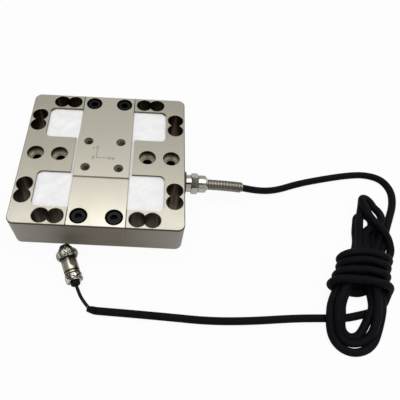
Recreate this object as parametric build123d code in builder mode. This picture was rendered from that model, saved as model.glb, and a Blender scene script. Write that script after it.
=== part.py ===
from build123d import *

import os
from math import atan, cos, pi, radians, sin, tan

# Multi-axis force sensor, in millimetres, +Z up.
# The origin is the centre of the square body, on the surface that the sensor stands on.

# Elastic frame
rail_width = 18.0  # the four rails around the windows
window_length = 32.0  # each window, from the load bar to the rail
frame_top = 36.0  # top face of the frame above the mounting surface
base_pad_height = 1.0  # how far the side blocks stand below the rails
corner_radius = 6.5  # vertical corners of the body
window_corner_radius = 5.0
block_width = 40.0  # side mounting blocks, along Y
block_gap = 2.5  # from the load bar to the end of a side block
outer_edge_chamfer = 0.8
bore_edge_chamfer = 0.3
flexure_bore_d = 14.3  # paired bores, two pairs in each rail

# Counterbored holes that bolt the side blocks down, M8
base_hole_d = 9.0
base_cbore_d = 15.0
base_cbore_depth = 8.6
base_side_wall = 5.0  # outer counterbore to the side face
base_hole_spacing = 22.0

# Load bar
bar_width = 50.0
tongue_thickness = 14.0  # bar ends, which lie in the seats of the front and back rails
seat_gap = 0.15  # on each side of a tongue
seam_chamfer = 0.3
bar_floor_gap = 2.0  # belly of the bar above the mounting surface
bar_rail_gap = 3.0  # belly of the bar to the rails
island_length = 50.0
island_height = 1.5
load_hole_spacing = 30.0
load_tap_d = 6.8  # M8 tapping bore
load_mouth_chamfer = 0.9
load_hole_depth = 18.0
shear_pocket_d = 22.0
shear_web = 16.0

# Axis mark engraved in the island
mark_depth = 0.15
mark_line = 0.5
mark_length = 12.0
mark_origin = (-6.0, -4.0)
mark_ring_d = 3.0

# M8 socket head screws that hold the bar down
screw_d = 8.0
screw_length = 20.0
screw_head_d = 13.0
screw_head_height = 8.0
screw_head_gap = 1.0  # around and above a head in its counterbore
screw_hole_gap = 0.5
screw_socket_af = 6.0
screw_socket_depth = 4.0
screw_wall = 2.5  # counterbore to the side and to the end of the bar
thread_gap = 0.05
tapped_spare = 3.0  # thread bore below the screw's tip

# Potting and what it covers
potting_recess = 2.5
gauge_length = 8.0
gauge_width = 5.0
gauge_thickness = 0.2
gauge_end_gap = 0.7  # gauge to the rounded corner of its window
board_length = 14.0
board_width = 12.0
board_thickness = 1.6
board_post_d = 1.6
board_post_height = 1.2
board_offset = 18.0  # from the side block to the near edge of the board
board_post_count = 4

# Sleeved cable and the spring on it
cable_d = 6.6
cable_floor = cable_d / 2
cable_tail = 5.5  # jacket inside the gland's thread
cable_exit = 45.0  # straight stretch out of the right face
spring_gap = 0.25
spring_wire_d = 1.4
spring_length = 34.8

# Cable gland on the right face, round the cable
gland_inset = 6.0  # gland's axis from the window end of the side block
gland_z = 18.0
gland_bore_gap = 0.2
seal_wall = 1.7
seal_length = 6.8
gland_wall = 1.0  # threaded wall around the seal
gland_thread_length = 7.5
gland_washer_d = 21.6
gland_washer_thickness = 2.4
gland_neck_wall = 2.0
gland_neck_length = 4.6
gland_hex_af = 17.0
gland_hex_length = 6.7
gland_collar_length = 4.3  # threaded collar under the nut
gland_nut_wall = 2.1
gland_nut_length = 5.6
gland_groove_depth = 0.5
gland_groove_length = 0.7
gland_cone_length = 3.2
gland_cone_wall = 0.4  # around the spring
gland_nut_gap = 0.2
gland_web = 0.6
wire_bore_turn = 27.0  # from the side face to where the wire bore turns to the window
core_bundle_d = 2.4
core_bend_radius = 5.0

# Hank
hank_centre = (229.0, -92.0)
hank_turn = -15.1  # its long axis against +Y
hank_layer = 14.0
hank_cuff_width = 52.0
hank_cuff_length = 43.0
hank_cuff_height = 24.0
hank_cuff_offset = -1.5
hank_loop_radius = 25.0
hank_loop_reach = 45.0
hank_hole = (20.0, 26.0)
hank_hole_place = (1.0, -40.0)
hank_tip_place = (0.0, 76.0)
hank_tip_radius = 7.0
hank_left_place = (-1.0, 20.0)  # where the upper loops leave the cuff
hank_left_radius = 9.0
hank_right_place = (18.0, 24.0)
hank_right_radius = 10.0

# Thin lead between the sleeve end and the plug
lead_d = 2.9
lead_reach = 6.0  # inside the plug
lead_straight = 9.0  # in line with the plug, behind the clamp ring

# Plug, lengths measured along its axis from the back face of the clamp ring
plug_tail = (-15.2, -112.6)
plug_heading = 22.5  # degrees from +Y towards -X
shell_bore_d = 8.4
shell_thread_wall = 1.3
clamp_ring_wall = 1.65
clamp_ring_length = 6.2
clamp_web = 1.6
shell_groove_step = 0.5
shell_groove_length = 1.0
shell_bead_step = 0.65
shell_bead_length = 1.2
spigot_wall = 1.1
spigot_length = 5.0
shell_wall = 1.45  # around the spigot
shell_front = 20.9
shell_flat_depth = 0.75
shell_flat_length = 9.0
shell_flat_width = 6.4
shell_flat_turn = 30.0  # degrees from the top
neck_wall = 1.8
insert_step = 0.3  # wide front of the insert, against its tail
nose_wall = 1.1
nose_length = 2.4
collar_step = 1.3
collar_length = 1.6
collar_gap = 0.4  # collar to the coupling ring's bore
ring_wall = 1.9
ring_lip = 1.8
ring_back_step = 1.6  # narrow back edge of the ring, against its widest part
ring_back_length = 2.15
ring_grip_length = 3.3
ring_shoulder_length = 2.8
ring_mouth_length = 2.2
ring_mouth_wall = 1.0
ring_mouth_gap = 0.5  # around the insert, for the thin shell of the socket
ring_end_gap = 0.25
ring_running_gap = 0.1
insert_reach = 2.3  # black insert in front of the coupling ring
contact_count = 5
contact_d = 1.8
contact_wall = 0.5  # contact to the outside of the insert's tail
contact_bore_d = 1.0
contact_bore_depth = 6.0
contact_tail = 3.0
contact_recess = 0.4
grommet_wall = 2.6
grommet_reach = 3.6
grommet_flange = 1.2
grommet_flange_gap = 0.3

# Values that follow from the ones above
body_size = bar_width + 2 * (window_length + rail_width)  # side of the square body
half = body_size / 2
bar_half = bar_width / 2
window_half = bar_half + window_length
rail_line = half - rail_width / 2
block_end = bar_half + block_gap
block_face = block_width / 2
base_hole_inset = base_cbore_d / 2 + base_side_wall
flexure_centre = (bar_half + window_half) / 2
flexure_pitch = window_length - 2 * (window_corner_radius + gauge_end_gap) - gauge_length
seat_z = frame_top - tongue_thickness
screw_cbore_d = screw_head_d + 2 * screw_head_gap
screw_cbore_depth = screw_head_height + screw_head_gap
screw_hole_d = screw_d + 2 * screw_hole_gap
screw_inset = screw_cbore_d / 2 + screw_wall
screw_spacing = bar_width - 2 * screw_inset
screw_y = half - screw_inset
island_top = frame_top + island_height
belly_half = window_half - bar_rail_gap
pocket_z = (bar_floor_gap + frame_top) / 2
pocket_depth = (bar_width - shear_web) / 2
gauge_z = (base_pad_height + frame_top) / 2
potting_low = base_pad_height + potting_recess
potting_top = frame_top - potting_recess
wire_turn_x = half - wire_bore_turn
gland_y = gland_inset - block_face
gland_bore_d = cable_d + 2 * gland_bore_gap
seal_d = cable_d + 2 * seal_wall
gland_thread_d = seal_d + 2 * gland_wall
gland_neck_d = gland_thread_d + 2 * gland_neck_wall
gland_nut_d = gland_thread_d + 2 * gland_nut_wall
spring_bore_d = cable_d + 2 * spring_gap
spring_d = spring_bore_d + 2 * spring_wire_d
gland_cone_end_d = spring_d + 2 * gland_cone_wall
spigot_d = shell_bore_d + 2 * spigot_wall
shell_d = spigot_d + 2 * shell_wall
shell_flat_af = shell_d - 2 * shell_flat_depth
shell_thread_d = shell_bore_d + 2 * shell_thread_wall
shell_groove_d = shell_thread_d + 2 * shell_groove_step
shell_bead_d = shell_groove_d + 2 * shell_bead_step
clamp_ring_d = shell_thread_d + 2 * clamp_ring_wall
grommet_d = lead_d + 2 * grommet_wall
grommet_flange_d = shell_thread_d - 2 * grommet_flange_gap
neck_d = shell_bore_d + 2 * neck_wall
insert_d = shell_bore_d + 2 * insert_step
nose_d = insert_d + 2 * nose_wall
collar_d = nose_d + 2 * collar_step
ring_bore_d = collar_d + 2 * collar_gap
ring_d = ring_bore_d + 2 * ring_wall
ring_back_d = ring_d - 2 * ring_back_step
ring_mouth_bore_d = insert_d + 2 * ring_mouth_gap
ring_mouth_d = ring_mouth_bore_d + 2 * ring_mouth_wall
grip_start = shell_front + ring_end_gap + ring_back_length
contact_circle_d = shell_bore_d - contact_d - 2 * contact_wall


def rail_sites(across, along):
    """Eight places, two on each rail, at a distance along it from the body's centre."""
    sites = []
    for side in (-1, 1):
        for end in (-1, 1):
            sites.append((end * along, side * across))
            sites.append((side * across, end * along))
    return sites


def direction(start, end):
    return (Vector(*end) - Vector(*start)).normalized()


def corner_radii(points):
    """Each bend of a route gets the largest arc that its two runs leave room for."""
    radii = []
    for before, corner, after in zip(points, points[1:], points[2:]):
        run_in = Vector(*corner) - Vector(*before)
        run_out = Vector(*after) - Vector(*corner)
        half_turn = radians(run_in.get_angle(run_out)) / 2
        radii.append(0.45 * min(run_in.length, run_out.length) / tan(half_turn))
    return radii


def report_route(name, points, diameter, solid, length):
    radii = [round(radius, 1) for radius in corner_radii(points)]
    section = pi * diameter**2 / 4
    print(name, "radii", radii, "length", round(length, 1))
    print(name, "volume over section times length", round(solid.volume / (section * length), 4))


# Frame with rails, side blocks and seats
window_height = frame_top - base_pad_height
seat_half = bar_half + seat_gap
with BuildPart() as elastic_frame:
    with BuildSketch(Plane.XY.offset(base_pad_height)):
        RectangleRounded(body_size, body_size, corner_radius)
    extrude(amount=window_height)
    chamfer(elastic_frame.faces().sort_by(Axis.Z)[-1].edges(), outer_edge_chamfer)
    chamfer(elastic_frame.faces().sort_by(Axis.Z)[0].edges(), outer_edge_chamfer / 2)
    with BuildSketch(Plane.XY.offset(base_pad_height)) as opening:
        Rectangle(2 * window_half, 2 * window_half)
        for side in (-1, 1):
            with Locations((side * (block_end + window_half) / 2, 0)):
                Rectangle(window_half - block_end, block_width, mode=Mode.SUBTRACT)
        wall_corners = opening.vertices().group_by(Axis.X)
        fillet(wall_corners[0] + wall_corners[-1], window_corner_radius)
    extrude(amount=window_height, mode=Mode.SUBTRACT)
    with BuildSketch():
        for side in (-1, 1):
            with Locations((side * (block_end + half) / 2, 0)):
                Rectangle(half - block_end, block_width)
    extrude(amount=base_pad_height + outer_edge_chamfer)
    with BuildSketch(Plane.XY.offset(seat_z)):
        Rectangle(2 * seat_half, body_size)
    extrude(amount=tongue_thickness, mode=Mode.SUBTRACT)
    top_edges = elastic_frame.edges().filter_by(Axis.Y).filter_by_position(Axis.Z, frame_top, frame_top)
    seam_edges = top_edges.filter_by(lambda edge: abs(abs(edge.center().X) - seat_half) < thread_gap)
    chamfer(seam_edges, seam_chamfer)
    with BuildSketch() as flexure_bores:
        for shift in (-flexure_pitch / 2, flexure_pitch / 2):
            with Locations(*rail_sites(rail_line, flexure_centre + shift)):
                Circle(flexure_bore_d / 2)
    extrude(amount=frame_top, mode=Mode.SUBTRACT)
    bore_edges = elastic_frame.edges().filter_by(GeomType.CIRCLE).group_by(Axis.Z)[-1]
    bore_edges = bore_edges.filter_by(lambda edge: abs(edge.radius - flexure_bore_d / 2) < thread_gap)
    chamfer(bore_edges, bore_edge_chamfer)
    for inset in (base_hole_inset, base_hole_inset + base_hole_spacing):
        with Locations((inset - half, 0, frame_top), (half - inset, 0, frame_top)):
            CounterBoreHole(base_hole_d / 2, base_cbore_d / 2, base_cbore_depth)
    mouth_edges = elastic_frame.edges().filter_by(GeomType.CIRCLE).group_by(Axis.Z)[-1]
    mouth_edges = mouth_edges.filter_by(lambda edge: abs(edge.radius - base_cbore_d / 2) < thread_gap)
    chamfer(mouth_edges, bore_edge_chamfer)
    screw_tip_z = frame_top - screw_cbore_depth - screw_length
    with Locations(Location((0, 0, seat_z))):
        with GridLocations(screw_spacing, 2 * screw_y, 2, 2):
            Hole(screw_d / 2 + thread_gap, seat_z - screw_tip_z + tapped_spare)
    gland_plane = Plane(origin=(half, gland_y, gland_z), x_dir=(0, 0, 1), z_dir=(1, 0, 0))
    with BuildSketch(gland_plane):
        Circle(gland_thread_d / 2 + thread_gap)
    extrude(amount=-gland_thread_length - thread_gap, mode=Mode.SUBTRACT)
    with BuildSketch(gland_plane):
        Circle(gland_bore_d / 2)
    extrude(amount=-wire_bore_turn, mode=Mode.SUBTRACT)
    with BuildSketch(Plane(origin=(wire_turn_x, -block_face, gland_z), z_dir=(0, 1, 0))):
        Circle(gland_bore_d / 2)
    extrude(amount=block_face + gland_y + gland_bore_d / 2, mode=Mode.SUBTRACT)
elastic_frame.part.label = "elastic_frame"

# Load bar: outline seen from the side, with tongues, deep belly and raised island
with BuildPart() as load_bar:
    with BuildSketch(Plane.YZ) as bar_side:
        with BuildLine():
            Polyline(
                (0, bar_floor_gap),
                (belly_half, bar_floor_gap),
                (belly_half, seat_z),
                (half, seat_z),
                (half, frame_top),
                (island_length / 2, frame_top),
                (island_length / 2, island_top),
                (0, island_top),
                close=True,
            )
        make_face()
        mirror(about=Plane.YZ)
    extrude(amount=bar_half, both=True)
    under_tongue = load_bar.edges().filter_by(Axis.X).filter_by_position(Axis.Z, seat_z, seat_z)
    fillet(under_tongue.group_by(SortBy.DISTANCE)[0], bar_rail_gap / 2)
    ends = load_bar.edges().filter_by(Axis.X).filter_by_position(Axis.Z, frame_top, frame_top)
    chamfer([ends.sort_by(Axis.Y)[0], ends.sort_by(Axis.Y)[-1]], outer_edge_chamfer)
    long_edges = load_bar.edges().filter_by(Axis.Y)
    chamfer(long_edges.filter_by_position(Axis.Z, frame_top, frame_top), seam_chamfer)
    chamfer(load_bar.faces().sort_by(Axis.Z)[-1].edges(), seam_chamfer)
    for side in (-1, 1):
        with BuildSketch(Plane.YZ.offset(side * bar_half)):
            with Locations((-flexure_centre, pocket_z), (flexure_centre, pocket_z)):
                Circle(shear_pocket_d / 2)
        extrude(amount=-side * pocket_depth, mode=Mode.SUBTRACT)
    with Locations(Location((0, 0, frame_top))):
        with GridLocations(screw_spacing, 2 * screw_y, 2, 2):
            CounterBoreHole(screw_hole_d / 2, screw_cbore_d / 2, screw_cbore_depth)
    screw_mouths = load_bar.edges().filter_by(GeomType.CIRCLE)
    chamfer(screw_mouths.filter_by_position(Axis.Z, frame_top, frame_top), bore_edge_chamfer)
    with Locations(Location((0, 0, island_top))):
        with GridLocations(load_hole_spacing, load_hole_spacing, 2, 2):
            Hole(load_tap_d / 2, load_hole_depth)
    load_mouths = load_bar.edges().filter_by(GeomType.CIRCLE)
    chamfer(
        load_mouths.filter_by_position(Axis.Z, island_top, island_top),
        load_mouth_chamfer,
    )
    with BuildSketch(Plane.XY.offset(island_top)):
        with Locations(mark_origin):
            Rectangle(mark_line, mark_length, align=(Align.CENTER, Align.MIN))
            Rectangle(mark_length, mark_line, align=(Align.MIN, Align.CENTER))
        with Locations((mark_origin[0] + mark_length, mark_origin[1])):
            Circle(mark_ring_d / 2)
            Circle(mark_ring_d / 2 - mark_line, mode=Mode.SUBTRACT)
    extrude(amount=-mark_depth, mode=Mode.SUBTRACT)
load_bar.part.label = "load_bar"

# Screws of the bar
head_seat_z = frame_top - screw_cbore_depth
with BuildPart() as load_bar_screws:
    with BuildSketch(Plane.XY.offset(head_seat_z)):
        with GridLocations(screw_spacing, 2 * screw_y, 2, 2):
            Circle(screw_head_d / 2)
    extrude(amount=screw_head_height)
    chamfer(load_bar_screws.edges().group_by(Axis.Z)[-1], seam_chamfer * 2)
    with BuildSketch(Plane.XY.offset(head_seat_z)):
        with GridLocations(screw_spacing, 2 * screw_y, 2, 2):
            Circle(screw_d / 2)
    extrude(amount=-screw_length)
    chamfer(load_bar_screws.edges().group_by(Axis.Z)[0], seam_chamfer * 2)
    with BuildSketch(Plane.XY.offset(head_seat_z + screw_head_height)):
        with GridLocations(screw_spacing, 2 * screw_y, 2, 2):
            RegularPolygon(screw_socket_af / 2, 6, major_radius=False)
    extrude(amount=-screw_socket_depth, mode=Mode.SUBTRACT)
load_bar_screws.part.label = "load_bar_screws"

# Foil gauges on the thin walls beside the flexure bores
gauge_sites = (flexure_centre - flexure_pitch / 2, flexure_centre + flexure_pitch / 2)
with BuildPart() as strain_gauges_y:
    for side in (-1, 1):
        with BuildSketch(Plane.XZ.offset(side * window_half)):
            for site in gauge_sites:
                with Locations((-site, gauge_z), (site, gauge_z)):
                    Rectangle(gauge_length, gauge_width)
        extrude(amount=-side * gauge_thickness)
strain_gauges_y.part.label = "strain_gauges_y"

with BuildPart() as strain_gauges_x:
    for side in (-1, 1):
        with BuildSketch(Plane.YZ.offset(side * window_half)):
            for site in gauge_sites:
                with Locations((-site, gauge_z), (site, gauge_z)):
                    Rectangle(gauge_length, gauge_width)
        extrude(amount=-side * gauge_thickness)
strain_gauges_x.part.label = "strain_gauges_x"

# Shear gauges, turned by 45 degrees, on both sides of the bar's webs
web_half = shear_web / 2
with BuildPart() as strain_gauges_z:
    for side in (-1, 1):
        with BuildSketch(Plane.YZ.offset(side * web_half)):
            with Locations((-flexure_centre, pocket_z), (flexure_centre, pocket_z)):
                Rectangle(gauge_length, gauge_length, rotation=45)
        extrude(amount=side * gauge_thickness)
strain_gauges_z.part.label = "strain_gauges_z"

# Board in the window beside the gland, and the cable's cores that lead to it
board_edge = -block_face - board_offset
board_low = gland_z - board_thickness / 2
with BuildPart() as terminal_board:
    with BuildSketch(Plane.XY.offset(board_low)):
        with Locations((wire_turn_x, board_edge)):
            Rectangle(board_length, board_width, align=(Align.CENTER, Align.MAX))
    extrude(amount=board_thickness)
    with BuildSketch(Plane.XY.offset(board_low + board_thickness)):
        with Locations((wire_turn_x, board_edge - board_width / 2)):
            with GridLocations(board_length / board_post_count, 0, board_post_count, 1):
                Circle(board_post_d / 2)
    extrude(amount=board_post_height)
terminal_board.part.label = "terminal_board"

core_start = (half - cable_tail, gland_y, gland_z)
core_points = [core_start, (wire_turn_x, gland_y, gland_z), (wire_turn_x, board_edge, gland_z)]
with BuildPart() as inner_leads:
    with BuildLine() as core_line:
        FilletPolyline(*core_points, radius=core_bend_radius)
    with BuildSketch(Plane(origin=core_start, z_dir=(-1, 0, 0))):
        Circle(core_bundle_d / 2)
    sweep()
inner_leads.part.label = "inner_leads"

# Silicone in the windows, one body on each side of the bar
potting = {}
for name, side in (("potting_left", -1), ("potting_right", 1)):
    with BuildPart() as fill:
        with BuildSketch(Plane.XY.offset(potting_low)) as fill_plan:
            with Locations((side * (bar_half + window_half) / 2, 0)):
                Rectangle(window_half - bar_half, 2 * window_half)
            with Locations((side * (block_end + window_half) / 2, 0)):
                Rectangle(window_half - block_end, block_width, mode=Mode.SUBTRACT)
            fill_corners = fill_plan.vertices().group_by(Axis.X)
            fillet(fill_corners[-1] if side > 0 else fill_corners[0], window_corner_radius)
        extrude(amount=potting_top - potting_low)
        with BuildSketch(Plane.YZ.offset(side * bar_half)):
            with Locations((-flexure_centre, pocket_z), (flexure_centre, pocket_z)):
                Circle(shear_pocket_d / 2)
        extrude(amount=-side * pocket_depth)
        add(strain_gauges_x.part, mode=Mode.SUBTRACT)
        add(strain_gauges_y.part, mode=Mode.SUBTRACT)
        add(strain_gauges_z.part, mode=Mode.SUBTRACT)
        if side > 0:
            add(terminal_board.part, mode=Mode.SUBTRACT)
            add(inner_leads.part, mode=Mode.SUBTRACT)
    fill.part.label = name
    potting[name] = fill.part

# Gland: profiles are drawn outwards from the right face, along the gland's axis
gland_profile = Plane(origin=(half, gland_y, gland_z), x_dir=(1, 0, 0), z_dir=(0, -1, 0))
gland_axis = Axis((half, gland_y, gland_z), (1, 0, 0))
neck_end = gland_washer_thickness + gland_neck_length
hex_end = neck_end + gland_hex_length
collar_end = hex_end + gland_collar_length
with BuildPart() as gland_washer:
    with BuildSketch(gland_plane):
        Circle(gland_washer_d / 2)
        Circle(gland_thread_d / 2 + thread_gap, mode=Mode.SUBTRACT)
    extrude(amount=gland_washer_thickness)
    fillet(gland_washer.edges().group_by(Axis.X)[-1].sort_by(SortBy.RADIUS)[-1], seam_chamfer * 2)
gland_washer.part.label = "gland_washer"

with BuildPart() as gland_body:
    with BuildSketch(gland_plane.offset(-gland_thread_length)):
        Circle(gland_thread_d / 2)
    extrude(amount=gland_thread_length + gland_washer_thickness)
    with BuildSketch(gland_plane.offset(gland_washer_thickness)):
        Circle(gland_neck_d / 2)
    extrude(amount=gland_neck_length)
    with BuildSketch(gland_plane.offset(neck_end)):
        RegularPolygon(gland_hex_af / 2, 6, major_radius=False)
    extrude(amount=gland_hex_length)
    with BuildSketch(gland_profile):
        with BuildLine():
            hex_corner = gland_hex_af / 2 / cos(pi / 6) + seam_chamfer / 4
            hex_face = gland_hex_af / 2 - seam_chamfer
            bevel = (hex_corner - hex_face) / 2
            Polyline(
                (neck_end, 0),
                (neck_end, hex_face),
                (neck_end + bevel, hex_corner),
                (hex_end - bevel, hex_corner),
                (hex_end, hex_face),
                (hex_end, 0),
                (neck_end, 0),
            )
        make_face()
        with BuildLine():
            Polyline(
                (-gland_thread_length, 0),
                (-gland_thread_length, gland_thread_d / 2),
                (0, gland_thread_d / 2),
                (gland_washer_thickness, gland_neck_d / 2),
                (neck_end, gland_neck_d / 2),
                (neck_end, 0),
                (-gland_thread_length, 0),
            )
        make_face()
    revolve(axis=gland_axis, mode=Mode.INTERSECT)
    with BuildSketch(gland_plane.offset(hex_end)):
        Circle(gland_thread_d / 2)
    extrude(amount=gland_collar_length)
    with BuildSketch(gland_plane.offset(-gland_thread_length)):
        Circle(gland_bore_d / 2)
    extrude(amount=gland_thread_length + collar_end, mode=Mode.SUBTRACT)
    with BuildSketch(gland_plane.offset(collar_end)):
        Circle(seal_d / 2)
    extrude(amount=-seal_length + gland_nut_gap, mode=Mode.SUBTRACT)
gland_body.part.label = "gland_body"

seal_start = collar_end - seal_length + gland_nut_gap
with BuildPart() as gland_seal:
    with BuildSketch(gland_plane.offset(seal_start)):
        Circle(seal_d / 2)
        Circle(cable_d / 2, mode=Mode.SUBTRACT)
    extrude(amount=seal_length)
gland_seal.part.label = "gland_seal"

nut_start = hex_end + gland_nut_gap
nut_end = nut_start + gland_nut_length
web_start = seal_start + seal_length
cone_end = nut_end + gland_cone_length
spring_seat = web_start + gland_web
with BuildPart() as gland_nut:
    with BuildSketch(gland_profile):
        with BuildLine():
            Polyline(
                (nut_start, gland_thread_d / 2 + thread_gap),
                (nut_start, gland_nut_d / 2 - seam_chamfer),
                (nut_start + seam_chamfer, gland_nut_d / 2),
                (nut_end - gland_groove_length, gland_nut_d / 2),
                (nut_end - gland_groove_length, gland_nut_d / 2 - gland_groove_depth),
                (nut_end, gland_nut_d / 2 - gland_groove_depth),
                (nut_end, gland_nut_d / 2),
                (nut_end + gland_cone_length / 4, gland_nut_d / 2),
                (cone_end, gland_cone_end_d / 2),
                (cone_end, spring_d / 2),
                (spring_seat, spring_d / 2),
                (spring_seat, gland_bore_d / 2),
                (web_start, gland_bore_d / 2),
                (web_start, gland_thread_d / 2 + thread_gap),
                close=True,
            )
        make_face()
    revolve(axis=gland_axis)
gland_nut.part.label = "gland_nut"

# Cable from the gland to the hank; the spring follows its first stretch
cable_in_points = [
    (half - cable_tail, gland_y, gland_z),
    (half + cable_exit, gland_y, gland_z),
    (147.0, -12.4, 8.8),
    (167.0, -7.2, cable_floor),
    (190.0, 2.2, cable_floor),
    (217.0, 11.6, cable_floor),
    (243.0, 17.0, cable_floor),
    (260.5, 17.6, cable_floor),
    (274.5, 11.4, cable_floor),
    (281.8, -2.4, cable_floor),
    (279.8, -18.0, cable_floor),
    (272.2, -31.5, cable_floor),
    (265.0, -43.5, cable_floor),
    (258.0, -55.5, cable_floor),
]
with BuildPart() as cable_run_in:
    with BuildLine() as cable_in_line:
        FilletPolyline(*cable_in_points, radius=corner_radii(cable_in_points))
    with BuildSketch(Plane(origin=cable_in_points[0], z_dir=(1, 0, 0))):
        Circle(cable_d / 2)
    sweep()
cable_run_in.part.label = "cable_run_in"
cable_in_wire = cable_in_line.wires()[0]
report_route("cable_run_in", cable_in_points, cable_d, cable_run_in.part, cable_in_wire.length)

spring_from = (cable_tail + spring_seat) / cable_in_wire.length
spring_to = spring_from + spring_length / cable_in_wire.length
spring_wire = cable_in_wire.trim(spring_from, spring_to)
with BuildPart() as strain_relief_spring:
    with BuildSketch(Plane(origin=spring_wire @ 0, z_dir=spring_wire % 0)):
        Circle(spring_d / 2)
        Circle(spring_bore_d / 2, mode=Mode.SUBTRACT)
    sweep(path=spring_wire)
strain_relief_spring.part.label = "strain_relief_spring"

# Hank: wound cuff, teardrop of long loops above it and open loops below it
hank_plane = Plane(origin=(*hank_centre, 0), z_dir=(0, 0, 1)).rotated((0, 0, hank_turn))
with BuildPart() as cable_hank:
    with BuildSketch(hank_plane):
        with Locations(hank_tip_place):
            Circle(hank_tip_radius)
        with Locations(hank_left_place):
            Circle(hank_left_radius)
        with Locations(hank_right_place):
            Circle(hank_right_radius)
        make_hull()
    extrude(amount=hank_layer)
    with BuildSketch(hank_plane):
        with Locations((0, -hank_loop_reach)):
            Circle(hank_loop_radius)
        with Locations((0, -hank_loop_reach / 2)):
            Rectangle(2 * hank_loop_radius, hank_loop_reach)
    extrude(amount=hank_layer)
    fillet(cable_hank.faces().sort_by(Axis.Z)[-1].edges(), cable_d / 2)
    cuff_plane = Plane(
        origin=hank_plane.from_local_coords((0, hank_cuff_offset, hank_cuff_height / 2)),
        x_dir=hank_plane.x_dir,
        z_dir=hank_plane.y_dir,
    )
    with BuildSketch(cuff_plane):
        RectangleRounded(hank_cuff_width, hank_cuff_height, hank_cuff_height / 2 - seam_chamfer)
    extrude(amount=hank_cuff_length / 2, both=True)
    with BuildSketch(hank_plane):
        with Locations(hank_hole_place):
            Ellipse(hank_hole[0] / 2, hank_hole[1] / 2)
    extrude(amount=hank_layer, mode=Mode.SUBTRACT)
cable_hank.part.label = "cable_hank"

# Cable from the hank back to the plug end
cable_out_points = [
    (197.0, -132.4, cable_floor),
    (166.0, -134.0, cable_floor),
    (130.0, -138.0, cable_floor),
    (97.0, -139.6, cable_floor),
    (64.0, -137.9, cable_floor),
    (31.0, -136.5, cable_floor),
    (4.6, -135.6, cable_floor),
]
out_start = direction(cable_out_points[0], cable_out_points[1])
with BuildPart() as cable_run_out:
    with BuildLine() as cable_out_line:
        FilletPolyline(*cable_out_points, radius=corner_radii(cable_out_points))
    with BuildSketch(Plane(origin=cable_out_points[0], z_dir=out_start)):
        Circle(cable_d / 2)
    sweep()
cable_run_out.part.label = "cable_run_out"
out_length = cable_out_line.wires()[0].length
report_route("cable_run_out", cable_out_points, cable_d, cable_run_out.part, out_length)

# Plug frame: the coupling ring and the clamp ring both rest on the table
plug_lean = atan((ring_d - clamp_ring_d) / 2 / grip_start)
heading = radians(plug_heading)
plug_dir = Vector(-sin(heading) * cos(plug_lean), cos(heading) * cos(plug_lean), sin(plug_lean))
plug_right = Vector(cos(heading), sin(heading), 0)
plug_up = plug_right.cross(plug_dir)
plug_origin = Vector(*plug_tail, clamp_ring_d / 2 * cos(plug_lean))
plug_profile = Plane(origin=plug_origin, x_dir=plug_dir, z_dir=plug_right)
plug_section = Plane(origin=plug_origin, x_dir=plug_up, z_dir=plug_dir)
plug_axis = Axis(plug_origin, plug_dir)

# Lead from the sleeve end into the plug
lead_points = [
    (-1.5, -133.2, 2.0),
    (-6.5, -128.2, 1.5),
    tuple(plug_origin - plug_dir * lead_straight),
    tuple(plug_origin + plug_dir * lead_reach),
]
lead_start = direction(lead_points[0], lead_points[1])
with BuildPart() as plug_lead:
    with BuildLine() as lead_line:
        FilletPolyline(*lead_points, radius=corner_radii(lead_points))
    with BuildSketch(Plane(origin=lead_points[0], z_dir=lead_start)):
        Circle(lead_d / 2)
    sweep()
plug_lead.part.label = "plug_lead"
lead_length = lead_line.wires()[0].length
report_route("plug_lead", lead_points, lead_d, plug_lead.part, lead_length)

# Tapered end of the braided sleeve
out_end = direction(cable_out_points[-2], cable_out_points[-1])
with BuildPart() as sleeve_end:
    with BuildSketch(Plane(origin=cable_out_points[-1], z_dir=out_end)):
        Circle(cable_d / 2)
    with BuildSketch(Plane(origin=lead_points[0], z_dir=lead_start)):
        Circle(lead_d / 2 + seam_chamfer)
    loft()
sleeve_end.part.label = "sleeve_end"

# Plug, from the back to the front
groove_start = clamp_ring_length + thread_gap
bead_start = groove_start + shell_groove_length
bead_end = bead_start + shell_bead_length
body_start = bead_end + shell_groove_length
grommet_flange_end = clamp_web + grommet_flange
with BuildPart() as plug_grommet:
    with BuildSketch(plug_profile):
        with BuildLine():
            Polyline(
                (-grommet_reach, lead_d / 2),
                (-grommet_reach, grommet_d / 2 - seam_chamfer * 3),
                (-grommet_reach + seam_chamfer * 3, grommet_d / 2),
                (clamp_web, grommet_d / 2),
                (clamp_web, grommet_flange_d / 2),
                (grommet_flange_end, grommet_flange_d / 2),
                (grommet_flange_end, lead_d / 2),
                close=True,
            )
        make_face()
    revolve(axis=plug_axis)
plug_grommet.part.label = "plug_grommet"

with BuildPart() as plug_clamp_ring:
    with BuildSketch(plug_profile):
        with BuildLine():
            Polyline(
                (0, grommet_d / 2),
                (0, clamp_ring_d / 2 - seam_chamfer),
                (seam_chamfer, clamp_ring_d / 2),
                (clamp_ring_length - seam_chamfer, clamp_ring_d / 2),
                (clamp_ring_length, clamp_ring_d / 2 - seam_chamfer),
                (clamp_ring_length, shell_thread_d / 2 + thread_gap),
                (clamp_web, shell_thread_d / 2 + thread_gap),
                (clamp_web, grommet_d / 2),
                close=True,
            )
        make_face()
    revolve(axis=plug_axis)
plug_clamp_ring.part.label = "plug_clamp_ring"

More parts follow.
